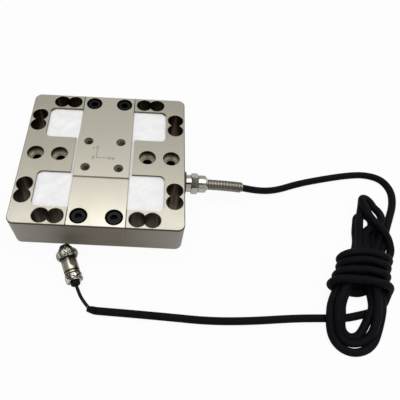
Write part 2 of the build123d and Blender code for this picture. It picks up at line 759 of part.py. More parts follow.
spigot_start = shell_front - spigot_length
with BuildPart() as plug_shell:
    with BuildSketch(plug_profile):
        with BuildLine():
            Polyline(
                (grommet_flange_end, shell_bore_d / 2),
                (grommet_flange_end, shell_thread_d / 2),
                (groove_start, shell_thread_d / 2),
                (groove_start, shell_groove_d / 2),
                (bead_start, shell_groove_d / 2),
                (bead_start, shell_bead_d / 2),
                (bead_end, shell_bead_d / 2),
                (bead_end, shell_groove_d / 2),
                (body_start, shell_groove_d / 2),
                (body_start, shell_d / 2),
                (shell_front - seam_chamfer, shell_d / 2),
                (shell_front, shell_d / 2 - seam_chamfer),
                (shell_front, spigot_d / 2 + thread_gap),
                (spigot_start, spigot_d / 2 + thread_gap),
                (spigot_start, shell_bore_d / 2),
                close=True,
            )
        make_face()
    revolve(axis=plug_axis)
    flat_turn = radians(shell_flat_turn)
    for side in (-1, 1):
        flat_normal = (plug_up * cos(flat_turn) + plug_right * sin(flat_turn)) * side
        flat_plane = Plane(
            origin=plug_origin + plug_dir * shell_front + flat_normal * (shell_flat_af / 2),
            x_dir=plug_dir,
            z_dir=flat_normal,
        )
        with BuildSketch(flat_plane):
            SlotOverall(2 * shell_flat_length, shell_flat_width)
        extrude(amount=shell_d, mode=Mode.SUBTRACT)
plug_shell.part.label = "plug_shell"

ring_back = shell_front + ring_end_gap
grip_end = grip_start + ring_grip_length
mouth_start = grip_end + ring_shoulder_length
ring_front = mouth_start + ring_mouth_length
collar_start = ring_back + ring_lip + ring_end_gap
sleeve_front = collar_start + collar_length + nose_length
tip = ring_front + insert_reach
with BuildPart() as plug_front_sleeve:
    with BuildSketch(plug_profile):
        with BuildLine():
            Polyline(
                (spigot_start, shell_bore_d / 2),
                (spigot_start, spigot_d / 2),
                (shell_front, spigot_d / 2),
                (shell_front, neck_d / 2),
                (collar_start, neck_d / 2),
                (collar_start, collar_d / 2),
                (collar_start + collar_length, collar_d / 2),
                (collar_start + collar_length, nose_d / 2),
                (sleeve_front, nose_d / 2),
                (sleeve_front, insert_d / 2),
                (collar_start, insert_d / 2),
                (collar_start, shell_bore_d / 2),
                close=True,
            )
        make_face()
    revolve(axis=plug_axis)
plug_front_sleeve.part.label = "plug_front_sleeve"

lip_d = neck_d + 2 * ring_running_gap
with BuildPart() as plug_coupling_ring:
    with BuildSketch(plug_profile):
        with BuildLine():
            Polyline(
                (ring_back, lip_d / 2),
                (ring_back, ring_back_d / 2),
                (grip_start, ring_d / 2),
                (grip_end, ring_d / 2),
                (mouth_start, ring_mouth_d / 2),
                (ring_front - seam_chamfer, ring_mouth_d / 2),
                (ring_front, ring_mouth_d / 2 - seam_chamfer),
                (ring_front, ring_mouth_bore_d / 2),
                (mouth_start, ring_mouth_bore_d / 2),
                (grip_end, ring_bore_d / 2),
                (ring_back + ring_lip, ring_bore_d / 2),
                (ring_back + ring_lip, lip_d / 2),
                close=True,
            )
        make_face()
    revolve(axis=plug_axis)
plug_coupling_ring.part.label = "plug_coupling_ring"

insert_tail = spigot_start
with BuildPart() as plug_insert:
    with BuildSketch(plug_profile):
        with BuildLine():
            Polyline(
                (insert_tail, 0),
                (insert_tail, shell_bore_d / 2),
                (collar_start, shell_bore_d / 2),
                (collar_start, insert_d / 2),
                (tip - seam_chamfer, insert_d / 2),
                (tip, insert_d / 2 - seam_chamfer),
                (tip, 0),
                close=True,
            )
        make_face()
    revolve(axis=plug_axis)
    with BuildSketch(plug_section.offset(insert_tail)):
        with PolarLocations(contact_circle_d / 2, contact_count):
            Circle(contact_d / 2)
    extrude(amount=tip - insert_tail, mode=Mode.SUBTRACT)
plug_insert.part.label = "plug_insert"

contact_front = tip - contact_recess
with BuildPart() as plug_contacts:
    with BuildSketch(plug_section.offset(insert_tail - contact_tail)):
        with PolarLocations(contact_circle_d / 2, contact_count):
            Circle(contact_d / 2)
    extrude(amount=contact_front - insert_tail + contact_tail)
    with BuildSketch(plug_section.offset(contact_front)):
        with PolarLocations(contact_circle_d / 2, contact_count):
            Circle(contact_bore_d / 2)
    extrude(amount=-contact_bore_depth, mode=Mode.SUBTRACT)
plug_contacts.part.label = "plug_contacts"

pieces = [
    elastic_frame.part,
    load_bar.part,
    load_bar_screws.part,
    potting["potting_left"],
    potting["potting_right"],
    strain_gauges_x.part,
    strain_gauges_y.part,
    strain_gauges_z.part,
    terminal_board.part,
    inner_leads.part,
    gland_washer.part,
    gland_body.part,
    gland_seal.part,
    gland_nut.part,
    strain_relief_spring.part,
    cable_run_in.part,
    cable_hank.part,
    cable_run_out.part,
    sleeve_end.part,
    plug_lead.part,
    plug_grommet.part,
    plug_clamp_ring.part,
    plug_shell.part,
    plug_front_sleeve.part,
    plug_coupling_ring.part,
    plug_insert.part,
    plug_contacts.part,
]
os.makedirs("parts", exist_ok=True)
for piece in pieces:
    export_step(piece, "parts/" + piece.label + ".step")
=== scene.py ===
from math import copysign, cos, pi, sin

import bmesh
import bpy
from mathutils import Matrix, Vector


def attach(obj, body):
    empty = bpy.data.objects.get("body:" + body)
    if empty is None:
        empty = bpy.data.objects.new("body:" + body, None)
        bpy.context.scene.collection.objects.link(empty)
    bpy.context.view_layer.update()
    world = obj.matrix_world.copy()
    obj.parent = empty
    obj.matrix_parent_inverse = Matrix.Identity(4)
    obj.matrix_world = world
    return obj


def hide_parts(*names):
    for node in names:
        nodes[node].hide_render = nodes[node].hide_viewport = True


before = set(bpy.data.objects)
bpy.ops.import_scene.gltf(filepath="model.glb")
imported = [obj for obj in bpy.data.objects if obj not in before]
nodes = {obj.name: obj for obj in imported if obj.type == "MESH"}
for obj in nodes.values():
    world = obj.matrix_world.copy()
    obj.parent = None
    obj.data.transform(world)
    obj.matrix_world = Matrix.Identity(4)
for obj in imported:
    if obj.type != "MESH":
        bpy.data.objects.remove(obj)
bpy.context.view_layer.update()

scene = bpy.context.scene
print("stage: frame loaded")


# objects and meshes
def addObject(name, data, material=None):
    obj = bpy.data.objects.new(name, data)
    scene.collection.objects.link(obj)
    if material:
        data.materials.append(material)
    return obj


def meshFrom(bm, name):
    mesh = bpy.data.meshes.new(name)
    bm.to_mesh(mesh)
    bm.free()
    return mesh


def plateMesh(name, half):
    bm = bmesh.new()
    bmesh.ops.create_grid(bm, x_segments=1, y_segments=1, size=half)
    return meshFrom(bm, name)


def pointsMesh(name, points, chain=False):
    edges = [(i, i + 1) for i in range(len(points) - 1)] if chain else []
    mesh = bpy.data.meshes.new(name)
    mesh.from_pydata([tuple(p) for p in points], edges, [])
    return mesh


def evaluatedMesh(obj):
    return bpy.data.meshes.new_from_object(obj.evaluated_get(bpy.context.evaluated_depsgraph_get()))


# the camera, set from the photograph's own vanishing lines
view = {
    "place": (0.04228, -0.23525, 0.33115), "tiltDown": 1.043903, "roll": 0.0478046, "turn": -0.0009,
    "picture": 400, "focal": 406.279, "middle": (146.32, 217.35),   # in picture points
    "sensor": 36, "nearest": 0.01, "farthest": 20,
}


def addCamera(v):
    ct, st = cos(v["tiltDown"]), sin(v["tiltDown"])
    ahead = Vector((sin(v["turn"]) * ct, cos(v["turn"]) * ct, -st))
    right = Vector((cos(v["turn"]), -sin(v["turn"]), 0))
    up = right.cross(ahead)
    c, s = cos(v["roll"]), sin(v["roll"])
    turn = Matrix((c * right + s * up, c * up - s * right, -ahead)).transposed().to_4x4()
    data = bpy.data.cameras.new("camera")
    data.sensor_fit = "HORIZONTAL"
    data.sensor_width = v["sensor"]
    data.lens = v["focal"] / v["picture"] * v["sensor"]
    data.shift_x = (v["picture"] / 2 - v["middle"][0]) / v["picture"]
    data.shift_y = (v["middle"][1] - v["picture"] / 2) / v["picture"]
    data.clip_start, data.clip_end = v["nearest"], v["farthest"]
    scene.camera = addObject("camera", data)
    scene.camera.matrix_world = Matrix.Translation(v["place"]) @ turn


addCamera(view)
print("stage: camera")


# node trees
def feed(n, inputs):
    # fills sockets with numbers, vectors, colours, outputs, or nodes, which stand for their first output
    for key, value in inputs.items():
        socket = n.inputs[key]
        if isinstance(value, bpy.types.Node):
            value = value.outputs[0]
        if isinstance(value, bpy.types.NodeSocket):
            n.id_data.links.new(value, socket)
        elif socket.type == "RGBA" and len(value) == 3:
            socket.default_value = (*value, 1)
        else:
            socket.default_value = value


def addNode(tree, kind, inputs=None, **settings):
    n = tree.nodes.new(kind)
    for key, value in settings.items():
        setattr(n, key, value)
    feed(n, inputs or {})
    return n


def mathNode(tree, operation, *values, clamp=False):
    return addNode(tree, "ShaderNodeMath", dict(enumerate(values)), operation=operation, use_clamp=clamp)


def distance(tree, a, b):
    return mathNode(tree, "ABSOLUTE", mathNode(tree, "SUBTRACT", a, b))


def product(tree, result, *others):
    for value in others:
        result = mathNode(tree, "MULTIPLY", result, value)
    return result


def vectorMath(tree, operation, *values):
    return addNode(tree, "ShaderNodeVectorMath", dict(enumerate(values)), operation=operation)


def vectorFrom(tree, *values):
    return addNode(tree, "ShaderNodeCombineXYZ", dict(enumerate(values)))


def mixColour(tree, factor, a, b, blend="MIX"):
    mix = addNode(tree, "ShaderNodeMix", {0: factor, 6: a, 7: b}, data_type="RGBA", blend_type=blend)
    return mix.outputs[2]


def fade(tree, value, low, high, first=0.0, last=1.0):
    # first up to low, last from high, or the other way round if high is the smaller
    return addNode(tree, "ShaderNodeMapRange", {0: value, 1: low, 2: high, 3: first, 4: last})


def zone(tree, *rules):
    # 1 where every value is past its two limits
    return product(tree, *[fade(tree, value, *limits) for value, limits in rules])


def toneRamp(tree, value, reach, stops):
    # the tone of a value between 0 and reach, from rising stops
    ramp = addNode(tree, "ShaderNodeValToRGB", {0: fade(tree, value, 0.0, reach)})
    elements = ramp.color_ramp.elements
    while len(elements) < len(stops):
        elements.new(0.5)
    for element, (place, tone) in zip(elements, stops):
        element.position = place / reach
        element.color = (*tone, 1)
    return ramp


def bumpInto(shader, height, strength, depth):
    n = addNode(shader.id_data, "ShaderNodeBump", {"Height": height, "Strength": strength, "Distance": depth})
    feed(shader, {"Normal": n})


def addSocket(tree, side, label, value):
    # its kind follows from the value: three numbers are a vector, four a colour
    kind = {float: "Float", int: "Int", bpy.types.Material: "Material"}.get(type(value))
    kind = kind or ("Vector" if len(value) == 3 else "Color")
    socket = tree.interface.new_socket(name=label, in_out=side, socket_type="NodeSocket" + kind)
    socket.default_value = value
    return socket.identifier


def newGroup(name, inputs, outputs):
    tree = bpy.data.node_groups.new(name, "ShaderNodeTree")
    for side, sockets in (("INPUT", inputs), ("OUTPUT", outputs)):
        for label, value in sockets.items():
            addSocket(tree, side, label, value)
    return tree, tree.nodes.new("NodeGroupInput").outputs, tree.nodes.new("NodeGroupOutput")


def growPiece(name, base, build, values, place=None):
    # builds a tree with an input for each value and keeps the plain mesh that it makes of base
    tree = bpy.data.node_groups.new(name, "GeometryNodeTree")
    for side in ("INPUT", "OUTPUT"):
        tree.interface.new_socket(name="Geometry", in_out=side, socket_type="NodeSocketGeometry")
    sockets = {addSocket(tree, "INPUT", label, value): value for label, value in values.items()}
    given = tree.nodes.new("NodeGroupInput").outputs
    real = addNode(tree, "GeometryNodeRealizeInstances", {0: build(tree, given)})
    painted = addNode(tree, "GeometryNodeSetMaterial", {0: real, "Material": given["Material"]})
    addNode(tree, "NodeGroupOutput", {0: painted})
    obj = addObject(name, base)
    modifier = obj.modifiers.new(name, "NODES")
    modifier.node_group = tree
    for identifier, value in sockets.items():
        modifier[identifier] = value
    bpy.context.view_layer.update()
    mesh = evaluatedMesh(obj)
    obj.modifiers.clear()
    obj.data = mesh
    mesh.name = name
    if place:
        mesh.transform(place)
    return obj


def sweep(tree, curve, radius, corners):
    profile = addNode(tree, "GeometryNodeCurvePrimitiveCircle", {"Resolution": corners, "Radius": radius})
    return addNode(tree, "GeometryNodeCurveToMesh", {0: curve, 1: profile, "Fill Caps": True})


# effects that several finishes share
def grainGroup():
    # fine scratches of grinding or brushing, under a slow cloud of tone
    tree, given, result = newGroup("surface grain", {
        "Vector": (0, 0, 0), "Scale": 900.0, "Stretch": (1, 1, 1), "Cloud Scale": 30.0, "Light": (1, 1, 1, 1),
        "Dark": (0.8, 0.8, 0.8, 1), "Rough Low": 0.3, "Rough High": 0.45},
        {"Color": (1, 1, 1, 1), "Height": 0.0, "Roughness": 0.5})
    fine = addNode(tree, "ShaderNodeTexNoise", {
        "Vector": vectorMath(tree, "MULTIPLY", given["Vector"], given["Stretch"]), "Scale": given["Scale"],
        "Detail": 4.0, "Roughness": 0.65}).outputs["Fac"]
    cloud = addNode(tree, "ShaderNodeTexNoise", {
        "Vector": given["Vector"], "Scale": given["Cloud Scale"], "Detail": 3.0, "Roughness": 0.55,
        "Distortion": 0.4}).outputs["Fac"]
    both = mathNode(tree, "ADD", product(tree, fine, 0.45),
                    product(tree, fade(tree, cloud, 0.32, 0.68), 0.55), clamp=True)
    rough = fade(tree, both, 0.0, 1.0, given["Rough High"], given["Rough Low"])
    colour = mixColour(tree, both, given["Dark"], given["Light"])
    feed(result, {"Color": colour, "Height": fine, "Roughness": rough})
    return tree


def braidGroup():
    # two families of strands wound round a cord, from its own map: around in turns, along in metres
    tree, given, result = newGroup("braid", {"Vector": (0, 0, 0), "Strands": 12.0, "Pitch": 0.012},
                                   {"Height": 0.0, "Gap": 0.0})
    parts = addNode(tree, "ShaderNodeSeparateXYZ", {0: given["Vector"]}).outputs
    along = mathNode(tree, "DIVIDE", parts[1], given["Pitch"])
    waves = []
    for sense in ("ADD", "SUBTRACT"):
        phase = product(tree, mathNode(tree, sense, parts[0], along), given["Strands"], 2 * pi)
        waves.append(mathNode(tree, "MULTIPLY_ADD", mathNode(tree, "SINE", phase), 0.5, 0.5))
    low = product(tree, *[mathNode(tree, "SUBTRACT", 1.0, wave) for wave in waves])
    feed(result, {"Height": mathNode(tree, "MAXIMUM", *waves), "Gap": low})
    return tree


grain = grainGroup()
braid = braidGroup()
print("stage: shared effects")


# finishes
def newMaterial(name, colour, rough, metallic=0.0, shine=0.5):
    mat = bpy.data.materials.new(name)
    mat.use_nodes = True
    shader = mat.node_tree.nodes["Principled BSDF"]
    feed(shader, {"Base Color": colour, "Roughness": rough, "Metallic": metallic, "Specular IOR Level": shine})
    return mat, mat.node_tree, shader


def objectVector(tree):
    return addNode(tree, "ShaderNodeTexCoord").outputs["Object"]


def grainedFinish(name, light, dark, rough, bump=0.25, scale=900.0, cloud=30.0, stretch=(1, 1, 1),
                  depth=0.00004, metallic=1.0, shine=0.5):
    mat, tree, shader = newMaterial(name, light, rough[1], metallic, shine)
    vector = objectVector(tree)
    g = addNode(tree, "ShaderNodeGroup", {
        "Vector": vector, "Scale": scale, "Stretch": stretch, "Cloud Scale": cloud, "Light": light,
        "Dark": dark, "Rough Low": rough[0], "Rough High": rough[1]}, node_tree=grain).outputs
    feed(shader, {"Base Color": g["Color"], "Roughness": g["Roughness"]})
    if bump:
        bumpInto(shader, g["Height"], bump, depth)
    return mat, tree, shader, vector, g


def softStuff(name, light, dark, rough, bump, shine=0.5, scale=500.0, cloud=40.0):
    return grainedFinish(name, light, dark, rough, bump, scale, cloud, depth=0.0001, metallic=0.0,
                         shine=shine)[0]


# the machined body: ground sides, rim, seams and holes, by distance from the middle and by height; the sides
# and rim carry painted reflection, the seams and holes painted shade, with a painted light band in the
# mounting counterbores
bodyLook = {   # pairs are limits: the effect starts at the first and is full at the second
    "frame": ((0.45, 0.428, 0.362), (0.345, 0.328, 0.273), (0.3, 0.42), 0.25, 1400.0, 22.0),
    "bar": ((0.545, 0.517, 0.438), (0.44, 0.415, 0.35), (0.26, 0.38), 0.25, 2200.0, 18.0, (0.06, 1, 1)),
    "cornerStart": 0.0685,
    "sideOut": (0.0746, 0.0748), "sideTop": (0.0353, 0.0351), "sideEnds": (0.02, 0.078), "sideRough": 0.82,
    # sideMiddle and sideEnd: painted reflection on the sides, darker in the middle, lighter towards the ends
    "sideMiddle": (0.33, 0.294, 0.243), "sideEnd": (0.545, 0.515, 0.468),
    "sideStretch": (0.03, 0.03, 1), "sideScale": 900.0, "sideStreak": 0.3,
    # rim: the dark of the painted reflection along the top edge's chamfer, also used for the side streaks and
    # the painted seam shade
    "rim": (0.06, 0.052, 0.042), "rimOut": (0.0743, 0.0745), "rimTop": (0.0343, 0.0347), "rimStrength": 0.93,
    "seamPlace": 0.0251, "seamWidth": (0.0004, 0.0003), "seamEnd": (0.0555, 0.056),
    "seamTop": (0.0345, 0.0352), "seamStrength": 0.9,
    "insideOut": (0.0744, 0.0742), "insideTop": (0.03597, 0.03592), "insideLow": (0.00105, 0.0012),
    "boreFrom": (0.0125, 0.0135), "bore": (0.085, 0.062, 0.042), "boreStreak": (0.19, 0.155, 0.115),
    "boreStrength": 0.97, "boreStretch": (1, 1, 0.02), "boreScale": 700.0, "boreLimits": (0.4, 0.75),
    "spotEdge": 0.0002, "wallReach": 0.04,
    "mountHoles": ((0.0625, 0.0), (0.0405, 0.0)), "mountReach": 0.0082,
    "mountWallLightAndShade": ((0.0, (0.012, 0.009, 0.007)), (0.0272, (0.02, 0.016, 0.012)), (0.0276, (0.72, 0.67, 0.56)),
                  (0.0294, (0.62, 0.57, 0.47)), (0.0297, (0.12, 0.1, 0.075)), (0.0303, (0.42, 0.375, 0.305)),
                  (0.0316, (0.2, 0.17, 0.13)), (0.0328, (0.06, 0.048, 0.035)), (0.036, (0.03, 0.024, 0.017))),
    "barHoles": (   # place, reach, height limits and painted wall shade, darker deeper down, of the load holes and of the screws' seats
        ((0.015, 0.015), 0.0046, (0.03745, 0.0374),
         ((0.02, (0.02, 0.017, 0.013)), (0.033, (0.03, 0.025, 0.019)), (0.0374, (0.07, 0.06, 0.046)))),
        ((0.015, 0.065), 0.0085, (0.03592, 0.03587),
         ((0.0, (0.02, 0.018, 0.015)), (0.036, (0.05, 0.045, 0.038))))),
}


def bodySides(tree, vector):
    # how far a point is from the middle along x and y, and how high
    return addNode(tree, "ShaderNodeSeparateXYZ", {0: vectorMath(tree, "ABSOLUTE", vector)}).outputs


def nearSpot(tree, x, y, spot, reach, edge):
    # 1 close to the four points of a spot, 0 away from them
    far = mathNode(tree, "MAXIMUM", distance(tree, x, spot[0]), distance(tree, y, spot[1]))
    return fade(tree, far, reach + edge, reach)


def streaks(tree, vector, stretch, scale):
    return addNode(tree, "ShaderNodeTexNoise", {
        "Vector": vectorMath(tree, "MULTIPLY", vector, stretch), "Scale": scale, "Detail": 3.0}).outputs["Fac"]


def bodyShades(tree, shader, vector, g, look):
    x, y, z = bodySides(tree, vector)
    # how far out a point is, measured round the body's four corners
    past = [mathNode(tree, "MAXIMUM", mathNode(tree, "SUBTRACT", v, look["cornerStart"]), 0.0) for v in (x, y)]
    square = mathNode(tree, "ADD", *[product(tree, v, v) for v in past])
    outer = mathNode(tree, "ADD", mathNode(tree, "SQRT", square), look["cornerStart"])
    # the ground sides carry faint level streaks and shine less; their colour is darkened with painted
    # reflection, darker in the middle of each side and lighter towards its ends
    side = zone(tree, (outer, look["sideOut"]), (z, look["sideTop"]))
    ends = fade(tree, mathNode(tree, "MINIMUM", x, y), *look["sideEnds"])
    streak = product(tree, streaks(tree, vector, look["sideStretch"], look["sideScale"]), look["sideStreak"])
    tone = mixColour(tree, streak, mixColour(tree, ends, look["sideMiddle"], look["sideEnd"]), look["rim"])
    colour = mixColour(tree, side, g["Color"], tone)
    feed(shader, {"Roughness": fade(tree, side, 0.0, 1.0, g["Roughness"], look["sideRough"])})
    # painted reflection: a dark line along the chamfer of the top edge
    rim = zone(tree, (outer, look["rimOut"]), (z, look["rimTop"]))
    colour = mixColour(tree, product(tree, rim, look["rimStrength"]), colour, look["rim"])
    # painted shade in the seams beside the bar, where it lies in the frame
    seam = zone(tree, (distance(tree, x, look["seamPlace"]), look["seamWidth"]), (y, look["seamEnd"]),
                (z, look["seamTop"]))
    colour = mixColour(tree, product(tree, seam, look["seamStrength"]), colour, look["rim"])
    return colour, x, y, z, outer


def frameFinish(look):
    mat, tree, shader, vector, g = grainedFinish("frame nickel", *look["frame"])
    colour, x, y, z, outer = bodyShades(tree, shader, vector, g, look)
    # painted shade on the walls of the paired bores, with lighter streaks
    inside = zone(tree, (outer, look["insideOut"]), (z, look["insideTop"]), (z, look["insideLow"]))
    bores = product(tree, inside, fade(tree, mathNode(tree, "MINIMUM", x, y), *look["boreFrom"]))
    streak = streaks(tree, vector, look["boreStretch"], look["boreScale"])
    wall = mixColour(tree, fade(tree, streak, *look["boreLimits"]), look["bore"], look["boreStreak"])
    colour = mixColour(tree, product(tree, bores, look["boreStrength"]), colour, wall)
    # painted light and shade on the walls of the mounting counterbores by height: near black deep down, a
    # light band at the step, darkening again towards the top
    wall = toneRamp(tree, z, look["wallReach"], look["mountWallLightAndShade"])
    for spot in look["mountHoles"]:
        near = nearSpot(tree, x, y, spot, look["mountReach"], look["spotEdge"])
        colour = mixColour(tree, product(tree, inside, near), colour, wall)
    feed(shader, {"Base Color": colour})
    return mat


def barFinish(look):
    mat, tree, shader, vector, g = grainedFinish("bar nickel", *look["bar"])
    colour, x, y, z = bodyShades(tree, shader, vector, g, look)[:4]
    # painted shade on the walls of the load holes and the screws' seats
    for spot, reach, top, stops in look["barHoles"]:
        hole = product(tree, fade(tree, z, *top), nearSpot(tree, x, y, spot, reach, look["spotEdge"]))
        colour = mixColour(tree, hole, colour, toneRamp(tree, z, look["wallReach"], stops))
    feed(shader, {"Base Color": colour})
    return mat


# the plug: painted light and shade by distance along its axis, and painted glints and dark specks where it is
# knurled
plug = {
    "origin": Vector((-0.0152, -0.1126, 0.00712)), "axis": Vector((-0.38121, 0.92032, 0.08764)).normalized(),
    "light": (0.37, 0.345, 0.285), "dark": (0.26, 0.24, 0.195), "rough": (0.16, 0.28), "cloud": 160.0,
    "shadeLength": 0.034,
    "shades": (   # distance from the rear, level of painted light and shade: shade in the grooves and under the coupling ring, a highlight on the bead between the grooves, dark at the mouth
        (0.0, 1.0), (0.0059, 1.0), (0.0061, 0.12), (0.0073, 0.14), (0.0075, 1.1), (0.0081, 1.1),
        (0.0083, 0.12), (0.0096, 0.14), (0.0099, 0.6), (0.0108, 1.0), (0.0165, 0.95), (0.019, 0.42),
        (0.0203, 0.18), (0.0214, 0.12), (0.022, 0.8), (0.0232, 0.5), (0.0236, 1.0), (0.0291, 1.0),
        (0.0295, 0.09), (0.034, 0.06)),
    "finishes": {"plug nickel": 0.0, "knurled nickel": 900.0, "clamp ring nickel": 600.0},   # sparkle scale
    # painted glints and dark specks on the knurling
    "sparks": ((0, (0.38, 0.46), (0.06, 0.052, 0.04)), (1, (0.68, 0.74), (0.85, 0.81, 0.7))),
    "sparkBump": (0.6, 0.0003),
}


def plugFinish(name, p, sparkle):
    mat, tree, shader, vector, g = grainedFinish(
        name, p["light"], p["dark"], p["rough"], 0.0 if sparkle else 0.25, cloud=p["cloud"])
    along = addNode(tree, "ShaderNodeVectorMath", {0: vector, 1: p["axis"]}, operation="DOT_PRODUCT")
    along = mathNode(tree, "SUBTRACT", along.outputs["Value"], p["origin"].dot(p["axis"]))
    shade = toneRamp(tree, along, p["shadeLength"], [(place, (level,) * 3) for place, level in p["shades"]])
    colour = g["Color"]
    if sparkle:
        # painted glints and dark specks from a cell pattern, with a bump from the same cells
        cells = addNode(tree, "ShaderNodeTexVoronoi", {"Vector": vector, "Scale": sparkle}).outputs
        spark = addNode(tree, "ShaderNodeSeparateColor", {0: cells["Color"]}).outputs
        for channel, limits, tone in p["sparks"]:
            colour = mixColour(tree, fade(tree, spark[channel], *limits), colour, tone)
        bumpInto(shader, cells["Distance"], *p["sparkBump"])
    feed(shader, {"Base Color": mixColour(tree, 1.0, colour, shade, blend="MULTIPLY")})
    return mat


braidLook = {
    "light": (0.0052, 0.0055, 0.0082), "dark": (0.0022, 0.0023, 0.0036), "gapShade": (0.001, 0.001, 0.0015),
    "rough": (0.42, 0.62), "scale": 1500.0, "cloud": 25.0, "shine": 0.05, "strands": 12.0, "pitch": 0.019,
    "bump": (0.6, 0.0003),
}


def braidedSleeve(look):
    mat, tree, shader, _, g = grainedFinish(
        "braided sleeve", look["light"], look["dark"], look["rough"], 0.0, look["scale"], look["cloud"],
        metallic=0.0, shine=look["shine"])
    uv = addNode(tree, "ShaderNodeUVMap", uv_map="UVMap")
    b = addNode(tree, "ShaderNodeGroup", {
        "Vector": uv, "Strands": look["strands"], "Pitch": look["pitch"]}, node_tree=braid).outputs
    # painted shade in the gaps between the strands
    feed(shader, {"Base Color": mixColour(tree, b["Gap"], g["Color"], look["gapShade"])})
    bumpInto(shader, b["Height"], *look["bump"])
    return mat


metals = {   # light tone, dark tone, least and most roughness, and a bump other than the usual
    "thread metal": ((0.33, 0.3, 0.24), (0.18, 0.162, 0.13), (0.25, 0.4)),
    "black steel": ((0.017, 0.017, 0.018), (0.007, 0.007, 0.0075), (0.28, 0.45), 0.4),
    "gland nickel": ((0.56, 0.535, 0.475), (0.42, 0.395, 0.345), (0.1, 0.17)),
    "spring steel": ((0.34, 0.315, 0.265), (0.2, 0.18, 0.15), (0.12, 0.2)),
    "contact metal": ((0.85, 0.64, 0.28), (0.7, 0.5, 0.2), (0.2, 0.3)),
}
softStuffs = {   # the same with every bump, and where they differ, shine and the scales of grain and cloud
    "silicone": ((0.73, 0.73, 0.72), (0.62, 0.625, 0.625), (0.35, 0.5), 0.2, 0.5, 120.0, 90.0),
    "black rubber": ((0.006, 0.0055, 0.005), (0.003, 0.003, 0.003), (0.5, 0.68), 0.3, 0.08),
    "washer fibre": ((0.1, 0.085, 0.065), (0.05, 0.042, 0.032), (0.5, 0.68), 0.3, 0.2),
    "lead jacket": ((0.005, 0.005, 0.006), (0.003, 0.003, 0.004), (0.45, 0.55), 0.2, 0.1),
    "insert plastic": ((0.006, 0.006, 0.0062), (0.003, 0.003, 0.0032), (0.32, 0.45), 0.2, 0.15),
    "loose fibre": ((0.55, 0.53, 0.49), (0.3, 0.29, 0.27), (0.5, 0.6), 0.1),
    "gauge film": ((0.72, 0.38, 0.08), (0.6, 0.3, 0.06), (0.25, 0.35), 0.1),
    "board": ((0.03, 0.18, 0.07), (0.02, 0.13, 0.05), (0.3, 0.45), 0.15),
    "core insulation": ((0.5, 0.06, 0.05), (0.42, 0.04, 0.04), (0.35, 0.5), 0.1),
    "mark": ((0.16, 0.14, 0.115), (0.09, 0.08, 0.065), (0.45, 0.6), 0.2, 0.5, 2500.0, 400.0),
}
finishes = {   # the CAD nodes that each finish covers
    "frame nickel": ["elastic_frame"], "bar nickel": ["load_bar"], "black steel": ["load_bar_screws"],
    "silicone": ["potting_left", "potting_right"], "board": ["terminal_board"],
    "gauge film": ["strain_gauges_x", "strain_gauges_y", "strain_gauges_z"],
    "core insulation": ["inner_leads"], "washer fibre": ["gland_washer"],
    "black rubber": ["gland_seal", "plug_grommet", "sleeve_end"], "gland nickel": ["gland_body", "gland_nut"],
    "spring steel": ["strain_relief_spring"], "lead jacket": ["plug_lead"],
    "braided sleeve": ["cable_run_in", "cable_hank", "cable_run_out"],
    "plug nickel": ["plug_shell", "plug_front_sleeve"], "clamp ring nickel": ["plug_clamp_ring"],
    "knurled nickel": ["plug_coupling_ring"], "insert plastic": ["plug_insert"],
    "contact metal": ["plug_contacts"],
}
paint = {"frame nickel": frameFinish(bodyLook), "bar nickel": barFinish(bodyLook),
         "braided sleeve": braidedSleeve(braidLook)}
for name, sparkle in plug["finishes"].items():
    paint[name] = plugFinish(name, plug, sparkle)
for name, values in metals.items():
    paint[name] = grainedFinish(name, *values)[0]
for name, values in softStuffs.items():
    paint[name] = softStuff(name, *values)
for name, covered in finishes.items():
    for node in covered:
        nodes[node].data.materials.clear()
        nodes[node].data.materials.append(paint[name])
print("stage: finishes")


# cords
cableIn = [   # from the gland to the hank, as in the part, in millimetres
    (69.5, -14, 18), (120, -14, 18), (147, -12.4, 8.8), (167, -7.2, 3.3), (190, 2.2, 3.3), (216.7, 9.6, 3.3),
    (242.7, 15.6, 3.3), (260.5, 17.3, 3.3), (275.7, 12.4, 3.3), (282.1, -1.6, 3.3), (279.1, -17.7, 3.3),
    (272.4, -31.8, 3.3),
]
cableOut = [   # from the hank to the sleeve's end
    (166, -134, 3.3), (130, -138, 3.3), (97, -139.6, 3.3), (64, -137.9, 3.3), (31, -136.5, 3.3),
    (4.6, -135.6, 3.3),
]
hank = {   # its middle and directions, and how the cable enters and leaves it
    "centre": (229, -92), "across": (0.9655, -0.2605), "along": (0.2605, 0.9655),
    "enter": [(24, 58.3, 3.3), (22.5, 50.1, 3.4), (20.9, 40.9, 4.4)],
    "leave": [(22.3, -13, 10.4), (22.6, -16.2, 6.8), (22.2, -20.4, 4.5), (19.8, -25.2, 3.4),
        (15.6, -29.4, 3.3), (10.1, -33, 3.3), (1.4, -38.1, 3.3), (-7.6, -43, 3.3), (-17.6, -46.4, 3.3),
        (-29.5, -50.1, 3.3)],
}
